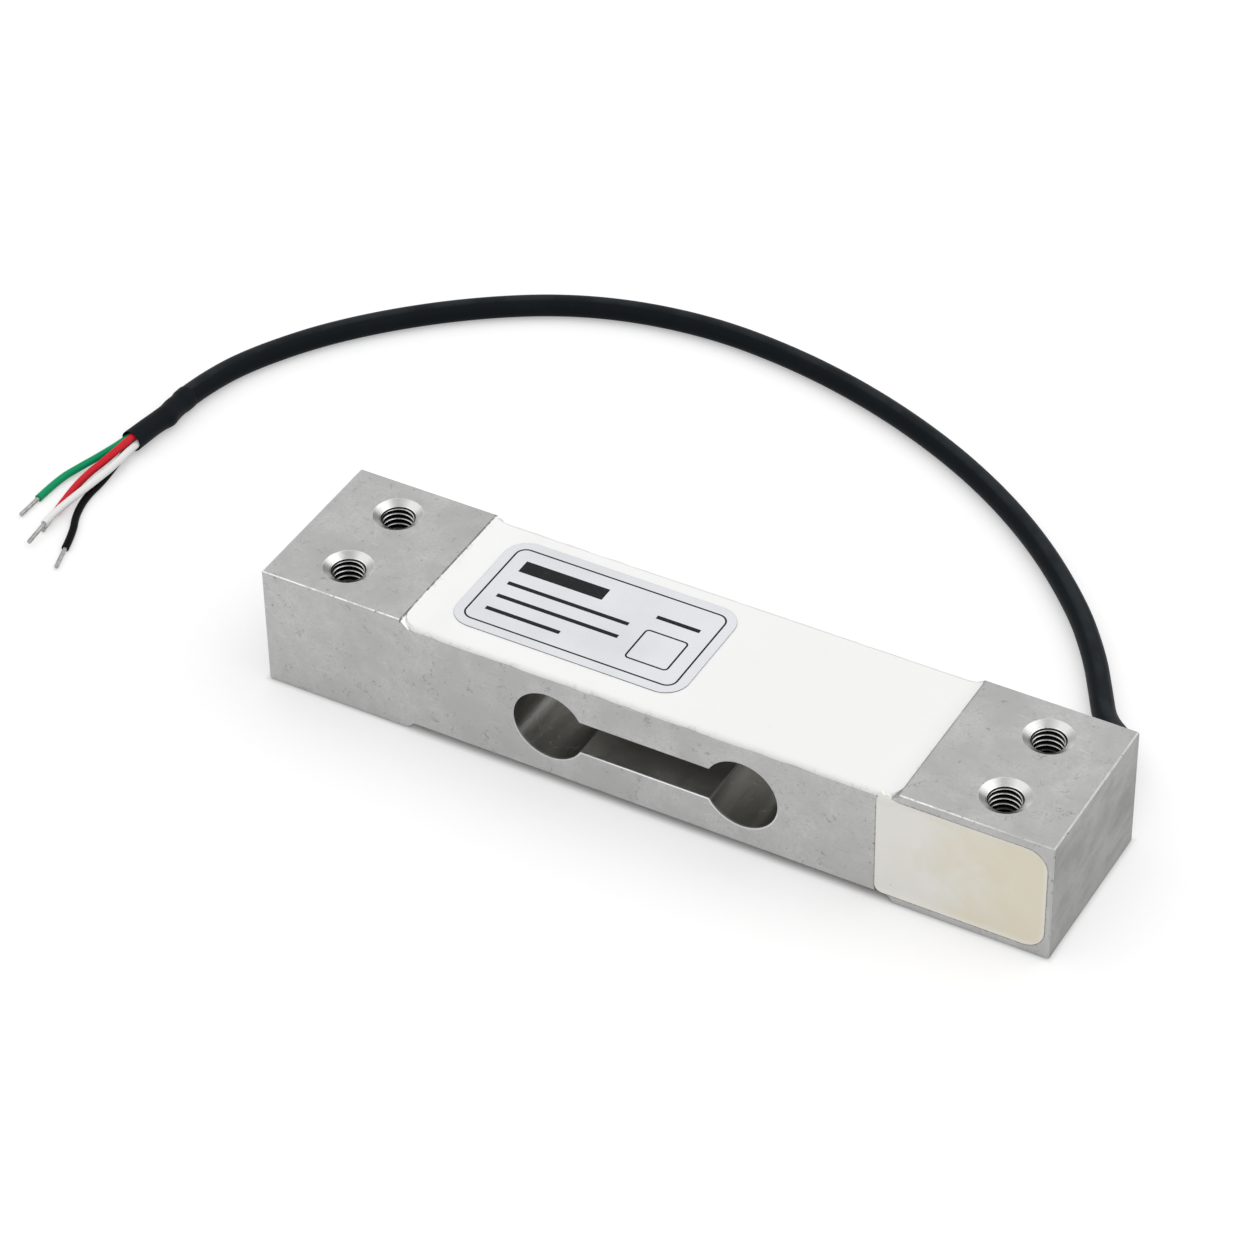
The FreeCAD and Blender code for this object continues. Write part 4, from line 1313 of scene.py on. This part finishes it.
@dataclass
class BoltThread:
    """Helical ridge of the M6 thread in one mounting hole. Millimetres.

    A corner of the ring has a radius, a height and a share of the crest's brightness.
    """

    major: float = 3.03
    minor: float = 2.46
    pitch: float = 1.0
    root_height: float = 0.92
    crest_height: float = 0.13
    low: float = 1.0
    high: float = 21.99
    end_turn: float = -60.0
    steps: int = 48
    cuts: int = 5
    runout: float = 0.3
    least_ridge: float = 0.05
    cone_foot: Pair = (3.0, 21.35)
    cone_slope: float = 0.59
    cone_gap: float = 0.03
    flank_gap: float = 0.012
    ring: tuple[Point, ...] = (
        (3.04, 21.374, 1.0), (2.82, 21.244, 1.0), (2.83, 21.20, 0.3), (3.04, 21.06, 0.0))
    ring_steps: int = 72
    merge: float = 1e-7

    @property
    def depth(self) -> float:
        """Depth of the thread."""
        return self.major - self.minor

    @property
    def turns(self) -> int:
        """Number of whole turns that fit in the hole."""
        return int((self.high - self.low - self.root_height) / self.pitch)

    @property
    def bottom(self) -> float:
        """Height of the lower end of the ridge."""
        return self.high - self.turns * self.pitch - self.root_height

    @property
    def start(self) -> float:
        """Height of the middle of the ridge at its lower end."""
        return self.bottom + self.root_height / 2

    def build_ring(self) -> bpy.types.Object:
        """Model the narrow ring that carries the countersink's cone on to the first ridge.

        Returns:
            The finished ring.
        """
        bpy.ops.mesh.primitive_torus_add(
            major_segments=self.ring_steps, minor_segments=len(self.ring),
            major_radius=1.0, minor_radius=0.1)
        ring = Workbench.started("cone_ring")
        crest = []
        for vertex in ring.data.vertices:
            radius = math.hypot(vertex.co.x, vertex.co.y)
            corner = round(math.atan2(vertex.co.z, radius - 1.0) / (math.pi / 2)) % len(self.ring)
            wanted, height, share = self.ring[corner]
            crest.append(share)
            vertex.co = Vector((vertex.co.x * wanted / radius, vertex.co.y * wanted / radius, height)) * MM
        store_number(ring, "crest", crest)
        Workbench.face_outwards(ring, self.merge)
        return ring

    def build_ridge(self, name: str) -> bpy.types.Object:
        """Model the plain ridge by screwing its section up the hole.

        Args:
            name: Name of the piece.

        Returns:
            The closed ridge.
        """
        bpy.ops.mesh.primitive_plane_add(size=1, rotation=(math.radians(90), 0, 0))
        piece = Workbench.started(name)
        Workbench.settle(piece)
        Workbench.pick_all(piece)
        bpy.ops.transform.resize(
            value=(self.depth * MM, 1.0, self.root_height * MM), center_override=(0, 0, 0))
        Workbench.pick(piece, lambda place: place.x < 0)
        crest = (-self.depth / 2 * MM, 0, 0)
        narrowed = (1.0, 1.0, self.crest_height / self.root_height)
        bpy.ops.transform.resize(value=narrowed, center_override=crest)
        Workbench.pick_all(piece)
        middle = (self.major + self.minor) / 2
        bpy.ops.transform.translate(value=(middle * MM, 0, self.start * MM))
        bpy.ops.mesh.delete(type="ONLY_FACE")
        bpy.ops.mesh.select_all(action="SELECT")
        bpy.ops.mesh.subdivide(number_cuts=self.cuts)
        Workbench.clear()
        screw = piece.modifiers.new("ridge", "SCREW")
        screw.angle = 2 * math.pi
        screw.screw_offset = self.pitch * MM
        screw.iterations = self.turns
        screw.steps = self.steps
        screw.render_steps = self.steps
        Workbench.apply_modifiers(piece)
        Workbench.take(piece)
        bpy.ops.object.mode_set(mode="EDIT")
        bpy.ops.mesh.select_mode(type="EDGE")
        bpy.ops.mesh.select_all(action="DESELECT")
        bpy.ops.mesh.select_non_manifold()
        bpy.ops.mesh.edge_face_add()
        Workbench.face_outwards(piece, self.merge)
        return piece

    def fit_to_cone(self, piece: bpy.types.Object) -> None:
        """Run the ridge out at its lower end and keep it under the countersink's cone.

        Args:
            piece: Plain ridge.
        """
        foot_radius, foot_height = self.cone_foot
        foot_height -= self.cone_gap
        flank = (self.root_height - self.crest_height) / 2 / self.depth
        crest = []
        for vertex in piece.data.vertices:
            radius = math.hypot(vertex.co.x, vertex.co.y) / MM
            height = vertex.co.z / MM
            turned = self.start + self.pitch * math.atan2(vertex.co.y, vertex.co.x) / (2 * math.pi)
            offset = (height - turned + self.pitch / 2) % self.pitch - self.pitch / 2
            above = height - offset - self.root_height / 2 - foot_height
            meeting = above + flank * self.major + self.cone_slope * foot_radius
            meeting /= flank + self.cone_slope
            fade = max(self.least_ridge, min(1.0, (height - self.bottom) / self.runout))
            wanted = self.major - (self.major - radius) * fade
            wanted = min(self.major, max(wanted, meeting))
            cone = foot_height + (wanted - foot_radius) * self.cone_slope
            if height > cone:
                height = cone - (self.flank_gap if offset < 0 else 0.0)
            vertex.co = Vector((vertex.co.x * wanted / radius, vertex.co.y * wanted / radius, height * MM))
            crest.append((self.major - radius) / self.depth)
        store_number(piece, "crest", crest)

    def build(self, name: str, x: float, y: float) -> bpy.types.Object:
        """Model the thread of one hole.

        Args:
            name: Name of the piece.
            x: Place of the hole along the beam.
            y: Place of the hole across the beam.

        Returns:
            The finished piece.
        """
        piece = self.build_ridge(name)
        self.fit_to_cone(piece)
        Workbench.join(piece, self.build_ring())
        piece.location = (x * MM, y * MM, 0)
        piece.rotation_euler.z = math.radians(self.end_turn)
        Workbench.settle(piece)
        Workbench.smooth(piece, 35)
        return piece


@dataclass
class LabelPrint:
    """Plain rules and fields of the label, as thin ink. Millimetres from the label's front left corner."""

    left: float = -37.7
    front: float = -10.45
    surface: float = 21.32
    ink: float = 0.012
    frame_box: Quad = (1.7, 1.7, 39.3, 20.8)
    frame_line: float = 0.3
    frame_corner: float = 1.9
    box: Quad = (29.0, 4.8, 36.6, 12.4)
    box_corner: float = 0.8
    fields: tuple[Quad, ...] = (
        (4.4, 15.2, 19.4, 18.0),
        (4.4, 11.6, 26.0, 12.4),
        (4.4, 8.2, 26.0, 9.0),
        (4.4, 4.8, 17.6, 5.6),
        (29.0, 15.2, 36.6, 16.0),
    )
    merge: float = 1e-7

    def sheet(self, name: str, bounds: Sequence[float]) -> bpy.types.Object:
        """Lay one flat field on the label.

        Args:
            name: Name of the field.
            bounds: Left, front, right and back edges.

        Returns:
            The flat field.
        """
        x0, y0, x1, y1 = bounds
        middle = ((x0 + x1) / 2 + self.left, (y0 + y1) / 2 + self.front, self.surface)
        bpy.ops.mesh.primitive_plane_add(size=1, location=Vector(middle) * MM)
        field_sheet = Workbench.started(name)
        field_sheet.scale = ((x1 - x0) * MM, (y1 - y0) * MM, 1)
        Workbench.settle(field_sheet)
        return field_sheet

    def outline(self, name: str, bounds: Sequence[float], corner: float) -> bpy.types.Object:
        """Lay a thin frame with round corners on the label.

        Args:
            name: Name of the frame.
            bounds: Left, front, right and back edges.
            corner: Radius of its corners.

        Returns:
            The flat frame.
        """
        sheet = self.sheet(name, bounds)
        Workbench.pick_all(sheet)
        bpy.ops.mesh.bevel(offset=corner * MM, affect="VERTICES", segments=8)
        bpy.ops.mesh.select_mode(type="FACE")
        bpy.ops.mesh.select_all(action="SELECT")
        bpy.ops.mesh.inset(thickness=self.frame_line * MM)
        bpy.ops.mesh.delete(type="FACE")
        Workbench.clear()
        return sheet

    def build(self) -> bpy.types.Object:
        """Join the rules and fields and give the ink its thickness.

        Returns:
            The finished piece.
        """
        parts = [self.outline("label_frame", self.frame_box, self.frame_corner)]
        parts.append(self.outline("label_box", self.box, self.box_corner))
        parts += [self.sheet(f"label_rule_{index}", bounds) for index, bounds in enumerate(self.fields)]
        Workbench.join(*parts)
        piece = Workbench.started("label_print")
        solidify = piece.modifiers.new("ink", "SOLIDIFY")
        solidify.thickness = self.ink * MM
        solidify.offset = 1.0
        Workbench.apply_modifiers(piece)
        Workbench.face_outwards(piece, self.merge)
        return piece


CABLE_EXIT: Point = (0.0632, 0.015, 0.0068)
CABLE_ROUTE: tuple[Point, ...] = (
    CABLE_EXIT,
    (0.0632, 0.02065, 0.0068),
    (0.06194, 0.02607, 0.00578),
    (0.05911, 0.03139, 0.00372),
    (0.05422, 0.03602, 0.00214),
    (0.05077, 0.04203, 0.00197),
    (0.0461, 0.0499, 0.00197),
    (0.0384, 0.0599, 0.00197),
    (0.0248, 0.0729, 0.00197),
    (0.0082, 0.0841, 0.00197),
    (-0.0110, 0.0928, 0.00197),
    (-0.0312, 0.0983, 0.00197),
    (-0.0523, 0.1000, 0.00197),
    (-0.0734, 0.0954, 0.00197),
    (-0.0916, 0.0841, 0.00197),
    (-0.1070, 0.0690, 0.00197),
    (-0.1163, 0.0540, 0.00199),
    (-0.11942, 0.0430, 0.00222),
    (-0.11989, 0.03748, 0.00226),
)


@dataclass(frozen=True)
class WireRun:
    """Route of one wire beyond the sleeve and its place in the bundle. Metres and degrees."""

    colour: WireColour
    angle: float
    route: tuple[Point, ...]


WIRE_RUNS: tuple[WireRun, ...] = (
    WireRun(WireColour.GREEN, 170.0, (
        (-0.1242, 0.0190, 0.00155), (-0.1258, 0.0153, 0.0011),
        (-0.1273, 0.0113, 0.00075), (-0.12742, 0.0054, 0.00067))),
    WireRun(WireColour.RED, 80.0, (
        (-0.1222, 0.0177, 0.00215), (-0.1232, 0.0144, 0.0015),
        (-0.12355, 0.0097, 0.0009), (-0.12266, 0.00365, 0.00068))),
    WireRun(WireColour.BLACK, 260.0, (
        (-0.1205, 0.0146, 0.00068), (-0.1206, 0.0096, 0.00067), (-0.1193, 0.0046, 0.00067),
        (-0.1171, 0.0006, 0.00067), (-0.1158, -0.0036, 0.00067))),
    WireRun(WireColour.WHITE, 350.0, (
        (-0.1200, 0.0176, 0.00225), (-0.1205, 0.0124, 0.0022), (-0.12135, 0.0060, 0.0021),
        (-0.1219, 0.0010, 0.0018), (-0.1218, -0.0008, 0.00168))),
)



@dataclass
class Cable:
    """Free signal cable with its shrink sleeve, wires and tinned ends. Metres."""

    diameter: float = 0.0039
    length: float = 0.2536
    wire_diameter: float = 0.0013
    bundle_ring: float = 0.00099
    sleeve_reach: float = 0.0135
    slump: tuple[Pair, ...] = ((0.0045, 0.0005), (0.0085, 0.0))
    wire_exit: float = 0.001
    tip_diameter: float = 0.00076
    tip_length: float = 0.0050
    tip_sides: int = 56
    tip_cuts: int = 26
    tip_cut_reach: float = 0.97
    tip_edge: float = 0.14
    tip_skin: float = 0.00001
    tip_strands: int = 7
    tip_twist: float = 520.0
    groove_depth: float = 0.03
    tin_wobble: float = 0.015
    tin_grain: float = 900.0
    line_steps: int = 24
    line_rounding: int = 8

    @property
    def end(self) -> Vector:
        """End of the sheath inside the sleeve."""
        return Vector(CABLE_ROUTE[-1])

    @property
    def heading(self) -> Vector:
        """Direction of the cable at its end."""
        return (Vector(CABLE_ROUTE[-1]) - Vector(CABLE_ROUTE[-2])).normalized()

    @property
    def across(self) -> Vector:
        """Level direction square to the cable's end."""
        return Vector((-self.heading.y, self.heading.x, 0)).normalized()

    @property
    def upward(self) -> Vector:
        """Steep direction square to the cable's end."""
        return -self.across.cross(self.heading).normalized()

    def line(self, name: str, points: Sequence[Point], diameter: float) -> bpy.types.Object:
        """Round line on one smooth spline with listed control points.

        Args:
            name: Name of the piece.
            points: Control points.
            diameter: Thickness of the line.

        Returns:
            The curve.
        """
        curve = bpy.data.curves.new(name, "CURVE")
        curve.dimensions = "3D"
        curve.resolution_u = self.line_steps
        curve.bevel_depth = diameter / 2
        curve.bevel_resolution = self.line_rounding
        curve.use_fill_caps = True
        spline = curve.splines.new("NURBS")
        spline.points.add(len(points) - 1)
        for knot, place in zip(spline.points, points):
            knot.co = (*place, 1.0)
        spline.order_u = 3
        spline.use_endpoint_u = True
        piece = bpy.data.objects.new(name, curve)
        bpy.context.scene.collection.objects.link(piece)
        return piece

    def build_sheath(self) -> bpy.types.Object:
        """Model the free cable."""
        return self.line("cable_sheath", CABLE_ROUTE, self.diameter)

    def wire_points(self, run: WireRun) -> list[Vector]:
        """Control points of one wire from the end of the sheath to its bare end.

        Args:
            run: The wire's route.

        Returns:
            The control points.
        """
        angle = math.radians(run.angle)
        ring = self.across * math.cos(angle) + self.upward * math.sin(angle)
        start = self.end + self.bundle_ring * ring
        slumped = [start + self.heading * along + self.across * shift for along, shift in self.slump]
        bend = start + self.heading * (self.sleeve_reach + self.wire_exit)
        return [start, *slumped, bend, *[Vector(place) for place in run.route]]

    def build_wire(self, run: WireRun) -> bpy.types.Object:
        """Model one insulated wire."""
        return self.line(f"insulated_wire_{run.colour.value}", self.wire_points(run), self.wire_diameter)

    def twist_strands(self, piece: bpy.types.Object, seed: float) -> None:
        """Press the grooves of twisted strands into a plain bare end.

        Args:
            piece: Upright bare end.
            seed: Place in the noise, so that no two ends are alike.
        """
        grooves = []
        for vertex in piece.data.vertices:
            angle = math.atan2(vertex.co.y, vertex.co.x)
            lobe = 0.5 + 0.5 * math.cos(self.tip_strands * (angle - self.tip_twist * vertex.co.z))
            wobble = noise.noise(vertex.co * self.tin_grain + Vector((seed, 0, 0)))
            scale = 1.0 - self.groove_depth * (1 - lobe) ** 2 + self.tin_wobble * wobble
            vertex.co.x *= scale
            vertex.co.y *= scale
            grooves.append((1 - lobe) ** 3)
        store_number(piece, "groove", grooves)

    def build_tip(self, run: WireRun) -> bpy.types.Object:
        """Model one bare end as twisted strands run together with tin.

        Args:
            run: The wire's route.

        Returns:
            The finished piece.
        """
        middle = (0, 0, self.tip_length / 2)
        bpy.ops.mesh.primitive_cylinder_add(
            vertices=self.tip_sides, radius=self.tip_diameter / 2, depth=self.tip_length, location=middle)
        piece = Workbench.started(f"tinned_strands_{run.colour.value}")
        Workbench.settle(piece)
        top = self.tip_length - self.tip_skin
        Workbench.pick(piece, lambda place: place.z > top)
        bpy.ops.mesh.bevel(offset=self.tip_diameter * self.tip_edge, segments=3, affect="EDGES")
        Workbench.clear()
        for cut in range(1, self.tip_cuts):
            Workbench.pick_all(piece)
            height = self.tip_length * self.tip_cut_reach * cut / self.tip_cuts
            bpy.ops.mesh.bisect(plane_co=(0, 0, height), plane_no=(0, 0, 1))
        Workbench.clear()
        self.twist_strands(piece, run.angle)
        points = self.wire_points(run)
        heading = (points[-1] - points[-2]).normalized()
        turn = heading.to_track_quat("Z", "Y").to_matrix().to_4x4()
        piece.matrix_world = Matrix.Translation(points[-1]) @ turn
        Workbench.settle(piece)
        Workbench.smooth(piece, 60)
        return piece


@dataclass
class Sleeve:
    """Shrink sleeve pulled over the cable's end and slumped round the wires. Metres.

    A station gives its place along the cable's end, half its width and height, and its shift across.
    """

    cable: Cable
    wall: float = 0.00014
    sides: int = 48
    dent: float = 0.02
    dents_round: float = 1.4
    dents_along: float = 420.0
    floor: float = 0.00003
    stations: tuple[Quad, ...] = (
        (-0.00205, 0.00199, 0.00199, 0.0),
        (-0.00190, 0.00205, 0.00205, 0.0),
        (-0.0012, 0.00206, 0.00206, 0.00003),
        (-0.0005, 0.00206, 0.00205, 0.00005),
        (0.0000, 0.00204, 0.00203, 0.00006),
        (0.0004, 0.00192, 0.00192, 0.00014),
        (0.0011, 0.00189, 0.00189, 0.00016),
        (0.0022, 0.00199, 0.00194, 0.00015),
        (0.0031, 0.00197, 0.00194, 0.00028),
        (0.0040, 0.00204, 0.00196, 0.00048),
        (0.0046, 0.00206, 0.00196, 0.00050),
        (0.0053, 0.00201, 0.00194, 0.00042),
        (0.0060, 0.00189, 0.00190, 0.00026),
        (0.0070, 0.00187, 0.00188, 0.00018),
        (0.0086, 0.00189, 0.00188, 0.00005),
        (0.0105, 0.00191, 0.00190, 0.0),
        (0.0124, 0.00195, 0.00193, -0.00004),
        (0.0132, 0.00198, 0.00195, -0.00006),
        (0.0135, 0.00197, 0.00194, -0.00006),
    )

    def build(self) -> bpy.types.Object:
        """Model the sleeve by extruding a ring along the cable's end.

        Returns:
            The finished piece.
        """
        cable = self.cable
        bpy.ops.mesh.primitive_circle_add(vertices=self.sides, radius=1.0, fill_type="NOTHING")
        piece = Workbench.started("shrunk_sleeve")
        Workbench.pick_all(piece)
        for _ in self.stations[1:]:
            bpy.ops.mesh.extrude_region_move(TRANSFORM_OT_translate={"value": (0, 0, 1)})
        Workbench.clear()
        for vertex in piece.data.vertices:
            along, wide, tall, shift = self.stations[round(vertex.co.z)]
            across, upward = [part * self.dents_round for part in vertex.co.xy]
            uneven = noise.noise(Vector((across, upward, along * self.dents_along)))
            dent = 1.0 + self.dent * uneven
            place = cable.end + cable.heading * along
            place += cable.across * (vertex.co.x * wide * dent + shift)
            place += cable.upward * (vertex.co.y * tall * dent)
            place.z = max(place.z, self.floor)
            vertex.co = place
        Workbench.face_outwards(piece)
        solidify = piece.modifiers.new("wall", "SOLIDIFY")
        solidify.thickness = self.wall
        solidify.offset = -1.0
        rounded = piece.modifiers.new("rounded", "SUBSURF")
        rounded.levels = 2
        rounded.render_levels = 2
        Workbench.apply_modifiers(piece)
        Workbench.smooth(piece, 60)
        return piece


@dataclass
class SealBead:
    """Bead of sealing compound round the cable where it leaves the beam. Metres."""

    ring: float = 0.00262
    section: float = 0.00072
    flatness: float = 0.55
    swell: float = 0.05
    lift: float = 0.00006
    lumps: float = 700.0

    def build(self) -> bpy.types.Object:
        """Model the bead from a flattened ring with an uneven edge.

        Returns:
            The finished piece.
        """
        bpy.ops.mesh.primitive_torus_add(
            major_radius=self.ring, minor_radius=self.section, major_segments=72, minor_segments=18,
            location=CABLE_EXIT, rotation=(math.radians(90), 0, 0))
        piece = Workbench.started("cable_seal_bead")
        Workbench.settle(piece)
        Workbench.pick_all(piece)
        bpy.ops.transform.resize(value=(1, self.flatness, 1), center_override=CABLE_EXIT)
        Workbench.clear()
        for vertex in piece.data.vertices:
            outward = vertex.co - Vector(CABLE_EXIT)
            wave = noise.noise(outward * self.lumps)
            vertex.co += Vector((outward.x, 0, outward.z)) * (self.swell * wave)
            vertex.co.y += self.lift * wave
        Workbench.smooth(piece, 60)
        return piece


@dataclass(frozen=True)
class Lamp:
    """One soft square lamp. Metres and watts."""

    name: str
    place: Point
    target: Point
    size: float
    power: float

    def hang(self) -> None:
        """Hang the lamp and point it at its target."""
        data = bpy.data.lights.new(self.name, "AREA")
        data.size = self.size
        data.energy = self.power
        lamp = bpy.data.objects.new(self.name, data)
        bpy.context.scene.collection.objects.link(lamp)
        lamp.location = self.place
        aim = Vector(self.target) - Vector(self.place)
        lamp.rotation_euler = aim.to_track_quat("-Z", "Y").to_euler()


@dataclass
class Studio:
    """Camera, soft light and pale floor. Metres, the lens and sensor in millimetres."""

    eye: Point = (0.259713, -0.472463, 0.473536)
    right: Point = (0.873348, 0.486885, -0.014376)
    down: Point = (0.301116, -0.562854, -0.769756)
    forward: Point = (-0.382874, 0.667937, -0.638176)
    lens: float = 131.77
    sensor: float = 36.0
    view_range: Pair = (0.01, 20.0)
    lamps: tuple[Lamp, ...] = (
        Lamp("key", (0.62, 0.55, 1.0), (0.0, 0.02, 0.0), 1.3, 3.2),
        Lamp("fill", (0.40, -0.71, 1.0), (-0.02, 0.03, 0.01), 0.3, 0.9),
    )
    ambient: float = 0.34
    overhead: float = 0.80
    seen_rays: tuple[str, ...] = ("Camera", "Glossy", "Transmission")
    floor_size: float = 8.0
    floor_height: float = -0.00002
    floor_colour: Colour = (0.68, 0.68, 0.68)
    floor_lift: float = 0.36
    # The beam's footprint, where the floor's glow is left out as a painted shadow.
    footprint: Pair = (0.0685, 0.015)
    footprint_edge: Pair = (-0.0010, 0.0011)

    def build_camera(self) -> None:
        """Place the camera at the photograph's viewing angle."""
        data = bpy.data.cameras.new("camera")
        data.lens = self.lens
        data.sensor_width = self.sensor
        data.clip_start, data.clip_end = self.view_range
        camera = bpy.data.objects.new("camera", data)
        bpy.context.scene.collection.objects.link(camera)
        columns = (Vector(self.right), -Vector(self.down), -Vector(self.forward))
        turn = Matrix([[column[row] for column in columns] for row in range(3)]).to_4x4()
        camera.matrix_world = Matrix.Translation(self.eye) @ turn
        bpy.context.scene.camera = camera

    def seen(self, nodes: NodeBench) -> Socket:
        """Mask of the rays that look at the background."""
        path = nodes.add("LightPath").outputs
        return nodes.math("MAXIMUM", *[path[f"Is {kind} Ray"] for kind in self.seen_rays])

    def build_world(self) -> None:
        """White surroundings to look at, with a plain level of light from all round."""
        world = bpy.data.worlds.new("studio")
        world.use_nodes = True
        bpy.context.scene.world = world
        nodes = NodeBench(world.node_tree)
        upward = nodes.split(nodes.add("TexCoord").outputs["Generated"])[2]
        sky = nodes.math("MULTIPLY", nodes.math("MAXIMUM", upward, 0.0), self.overhead)
        light = nodes.math("ADD", sky, self.ambient)
        strength = nodes.span(self.seen(nodes), 0.0, 1.0, light, 1.0)
        nodes.feed_all(nodes.tree.nodes["Background"], Color=(1.0, 1.0, 1.0), Strength=strength)

    def glow_with_painted_shadow(self, nodes: NodeBench) -> Socket:
        """Lift of the floor, none under the beam, which leaves a painted shadow there.

        Args:
            nodes: Node tree to add to.

        Returns:
            Socket with the lift.
        """
        sides = zip(nodes.axes(), self.footprint)
        outside = nodes.math("MAXIMUM", *[nodes.past(part, half) for part, half in sides])
        return nodes.span(outside, *self.footprint_edge, 0.0, self.floor_lift)

    def build_floor(self) -> None:
        """Pale floor that keeps the object's shadow, with a painted shadow under the beam."""
        bpy.ops.mesh.primitive_plane_add(size=self.floor_size, location=(0, 0, self.floor_height))
        floor = Workbench.started("floor")
        material = bpy.data.materials.new("pale_floor")
        material.use_nodes = True
        nodes = NodeBench(material.node_tree)
        nodes.tree.nodes.clear()
        matt = nodes.add("BsdfDiffuse")
        nodes.feed_all(matt, Color=self.floor_colour)
        glow = nodes.add("Emission")
        # No glow in the beam's footprint: a painted shadow under the beam.
        nodes.feed_all(glow, Strength=nodes.math("MULTIPLY", self.seen(nodes), self.glow_with_painted_shadow(nodes)))
        both = nodes.add("AddShader")
        for socket, shader in zip(both.inputs, (matt, glow)):
            nodes.feed(socket, shader.outputs[0])
        nodes.feed_all(nodes.add("OutputMaterial"), Surface=both.outputs[0])
        floor.data.materials.append(material)

    def build(self) -> None:
        """Set up the camera, the lamps, the surroundings and the floor."""
        bpy.context.scene.view_settings.view_transform = "Standard"
        self.build_camera()
        for lamp in self.lamps:
            lamp.hang()
        self.build_world()
        self.build_floor()


@dataclass
class LoadCell:
    """The whole load cell: finishes on the CAD nodes and the pieces modelled over them. Millimetres."""

    hole_x: float = 57.0
    hole_y: float = 7.5
    sealant_half_widths: dict[Level, float] = field(default_factory=lambda: {
        Level.TOP: 15.0, Level.BOTTOM: 14.4})
    insulation: dict[WireColour, tuple[Colour, Colour, float]] = field(default_factory=lambda: {
        WireColour.GREEN: ((0.001, 0.295, 0.12), (0.006, 0.33, 0.145), 0.12),
        WireColour.RED: ((0.62, 0.016, 0.028), (0.66, 0.035, 0.045), 0.12),
        WireColour.BLACK: ((0.0035, 0.0036, 0.004), (0.010, 0.010, 0.011), 0.04),
        WireColour.WHITE: ((0.83, 0.83, 0.82), (0.76, 0.76, 0.745), 0.12),
    })
    inner_finishes: tuple[tuple[str, PatchyFinish], ...] = (
        ("strain_gauge", PatchyFinish("gauge_film", (0.62, 0.40, 0.14), (0.50, 0.30, 0.10))),
        ("gauge_leads", PatchyFinish("lead_enamel", (0.40, 0.10, 0.05), (0.30, 0.07, 0.04))),
        ("board", PatchyFinish("board_laminate", (0.05, 0.26, 0.12), (0.03, 0.18, 0.09))),
        ("resistor", PatchyFinish("resistor_bobbin", (0.42, 0.30, 0.18), (0.30, 0.21, 0.13))),
    )

    def finish_node(self, name: str, material: bpy.types.Material) -> None:
        """Give a CAD node its finish.

        Args:
            name: Name of the node.
            material: Its finish.
        """
        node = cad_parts[name]
        node.data.materials.clear()
        node.data.materials.append(material)

    def finish_inner_nodes(self) -> None:
        """Give the pieces under the sealant and in the potting their finishes."""
        for word, finish in self.inner_finishes:
            material = finish.material()
            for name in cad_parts:
                if word in name:
                    self.finish_node(name, material)

    def build_beam(self) -> None:
        """Finish the beam and cut its threads."""
        self.finish_node("load_cell_beam", MilledAluminium().material())
        thread_finish = CutThread().material()
        thread = BoltThread()
        for end, x in (("load", -self.hole_x), ("fixed", self.hole_x)):
            for side, y in (("front", -self.hole_y), ("back", self.hole_y)):
                piece = thread.build(f"thread_{end}_{side}", x, y)
                Workbench.hand_over(piece, thread_finish, "milled_aluminium")

    def build_fillings(self) -> None:
        """Cast the sealant and the potting, and lay the label."""
        sealant = WhiteSealant().material()
        for level in Level:
            piece = Sealant(level, self.sealant_half_widths[level]).build()
            Workbench.hand_over(piece, sealant, "white_sealant", [f"{level.name.lower()}_sealant"])
        Workbench.hand_over(Potting().build(), CreamPotting().material(), "potting_resin", ["side_potting"])
        self.finish_node("blank_label", SilverFilm().material())
        Workbench.hand_over(LabelPrint().build(), PrintInk().material(), "label_film")

    def build_cable(self) -> None:
        """Lay the cable with its sleeve, wires and bare ends."""
        cable = Cable()
        black = CableSheath(
            "cable_sheath", (0.0074, 0.0099, 0.0124), (0.017, 0.020, 0.023), gloss=0.035).material()
        shrunk = SoftSheath(
            "shrink_sleeve", (0.0065, 0.0088, 0.0108), (0.014, 0.0165, 0.019), 0.5, gloss=0.06).material()
        compound = SoftSheath("seal_compound", (0.02, 0.02, 0.02), (0.06, 0.06, 0.058), 0.55).material()
        tin = TinnedStrands().material()
        sleeve = Workbench.hand_over(Sleeve(cable).build(), shrunk, "shrink_sleeve", ["heat_shrink_sleeve"])
        for run in WIRE_RUNS:
            name = run.colour.value
            body, dust, gloss = self.insulation[run.colour]
            skin = SoftSheath(f"insulation_{name}", body, dust, 0.36, dusting=0.3, gloss=gloss).material()
            self.finish_node(f"cable_core_{name}", skin)
            wire = cable.build_wire(run)
            Workbench.hand_over(wire, skin, f"insulation_{name}", [f"wire_{name}"])
            tip = cable.build_tip(run)
            Workbench.hand_over(tip, tin, "tinned_copper", [f"tinned_end_{name}"])
        sheath = Workbench.hand_over(cable.build_sheath(), black, "cable_sheath", ["signal_cable"])
        self.finish_node("inner_cable_length", black)
        self.finish_node("cable_seal", compound)
        Workbench.hand_over(SealBead().build(), compound, "seal_bead")

    def build(self) -> None:
        """Build every piece in order."""
        self.build_cable()
        self.build_beam()
        self.build_fillings()
        self.finish_inner_nodes()


def main() -> None:
    """Build the studio and the load cell."""
    logging.basicConfig(level=logging.INFO, format="%(message)s")
    Studio().build()
    LoadCell().build()


if __name__ == "__main__":
    main()
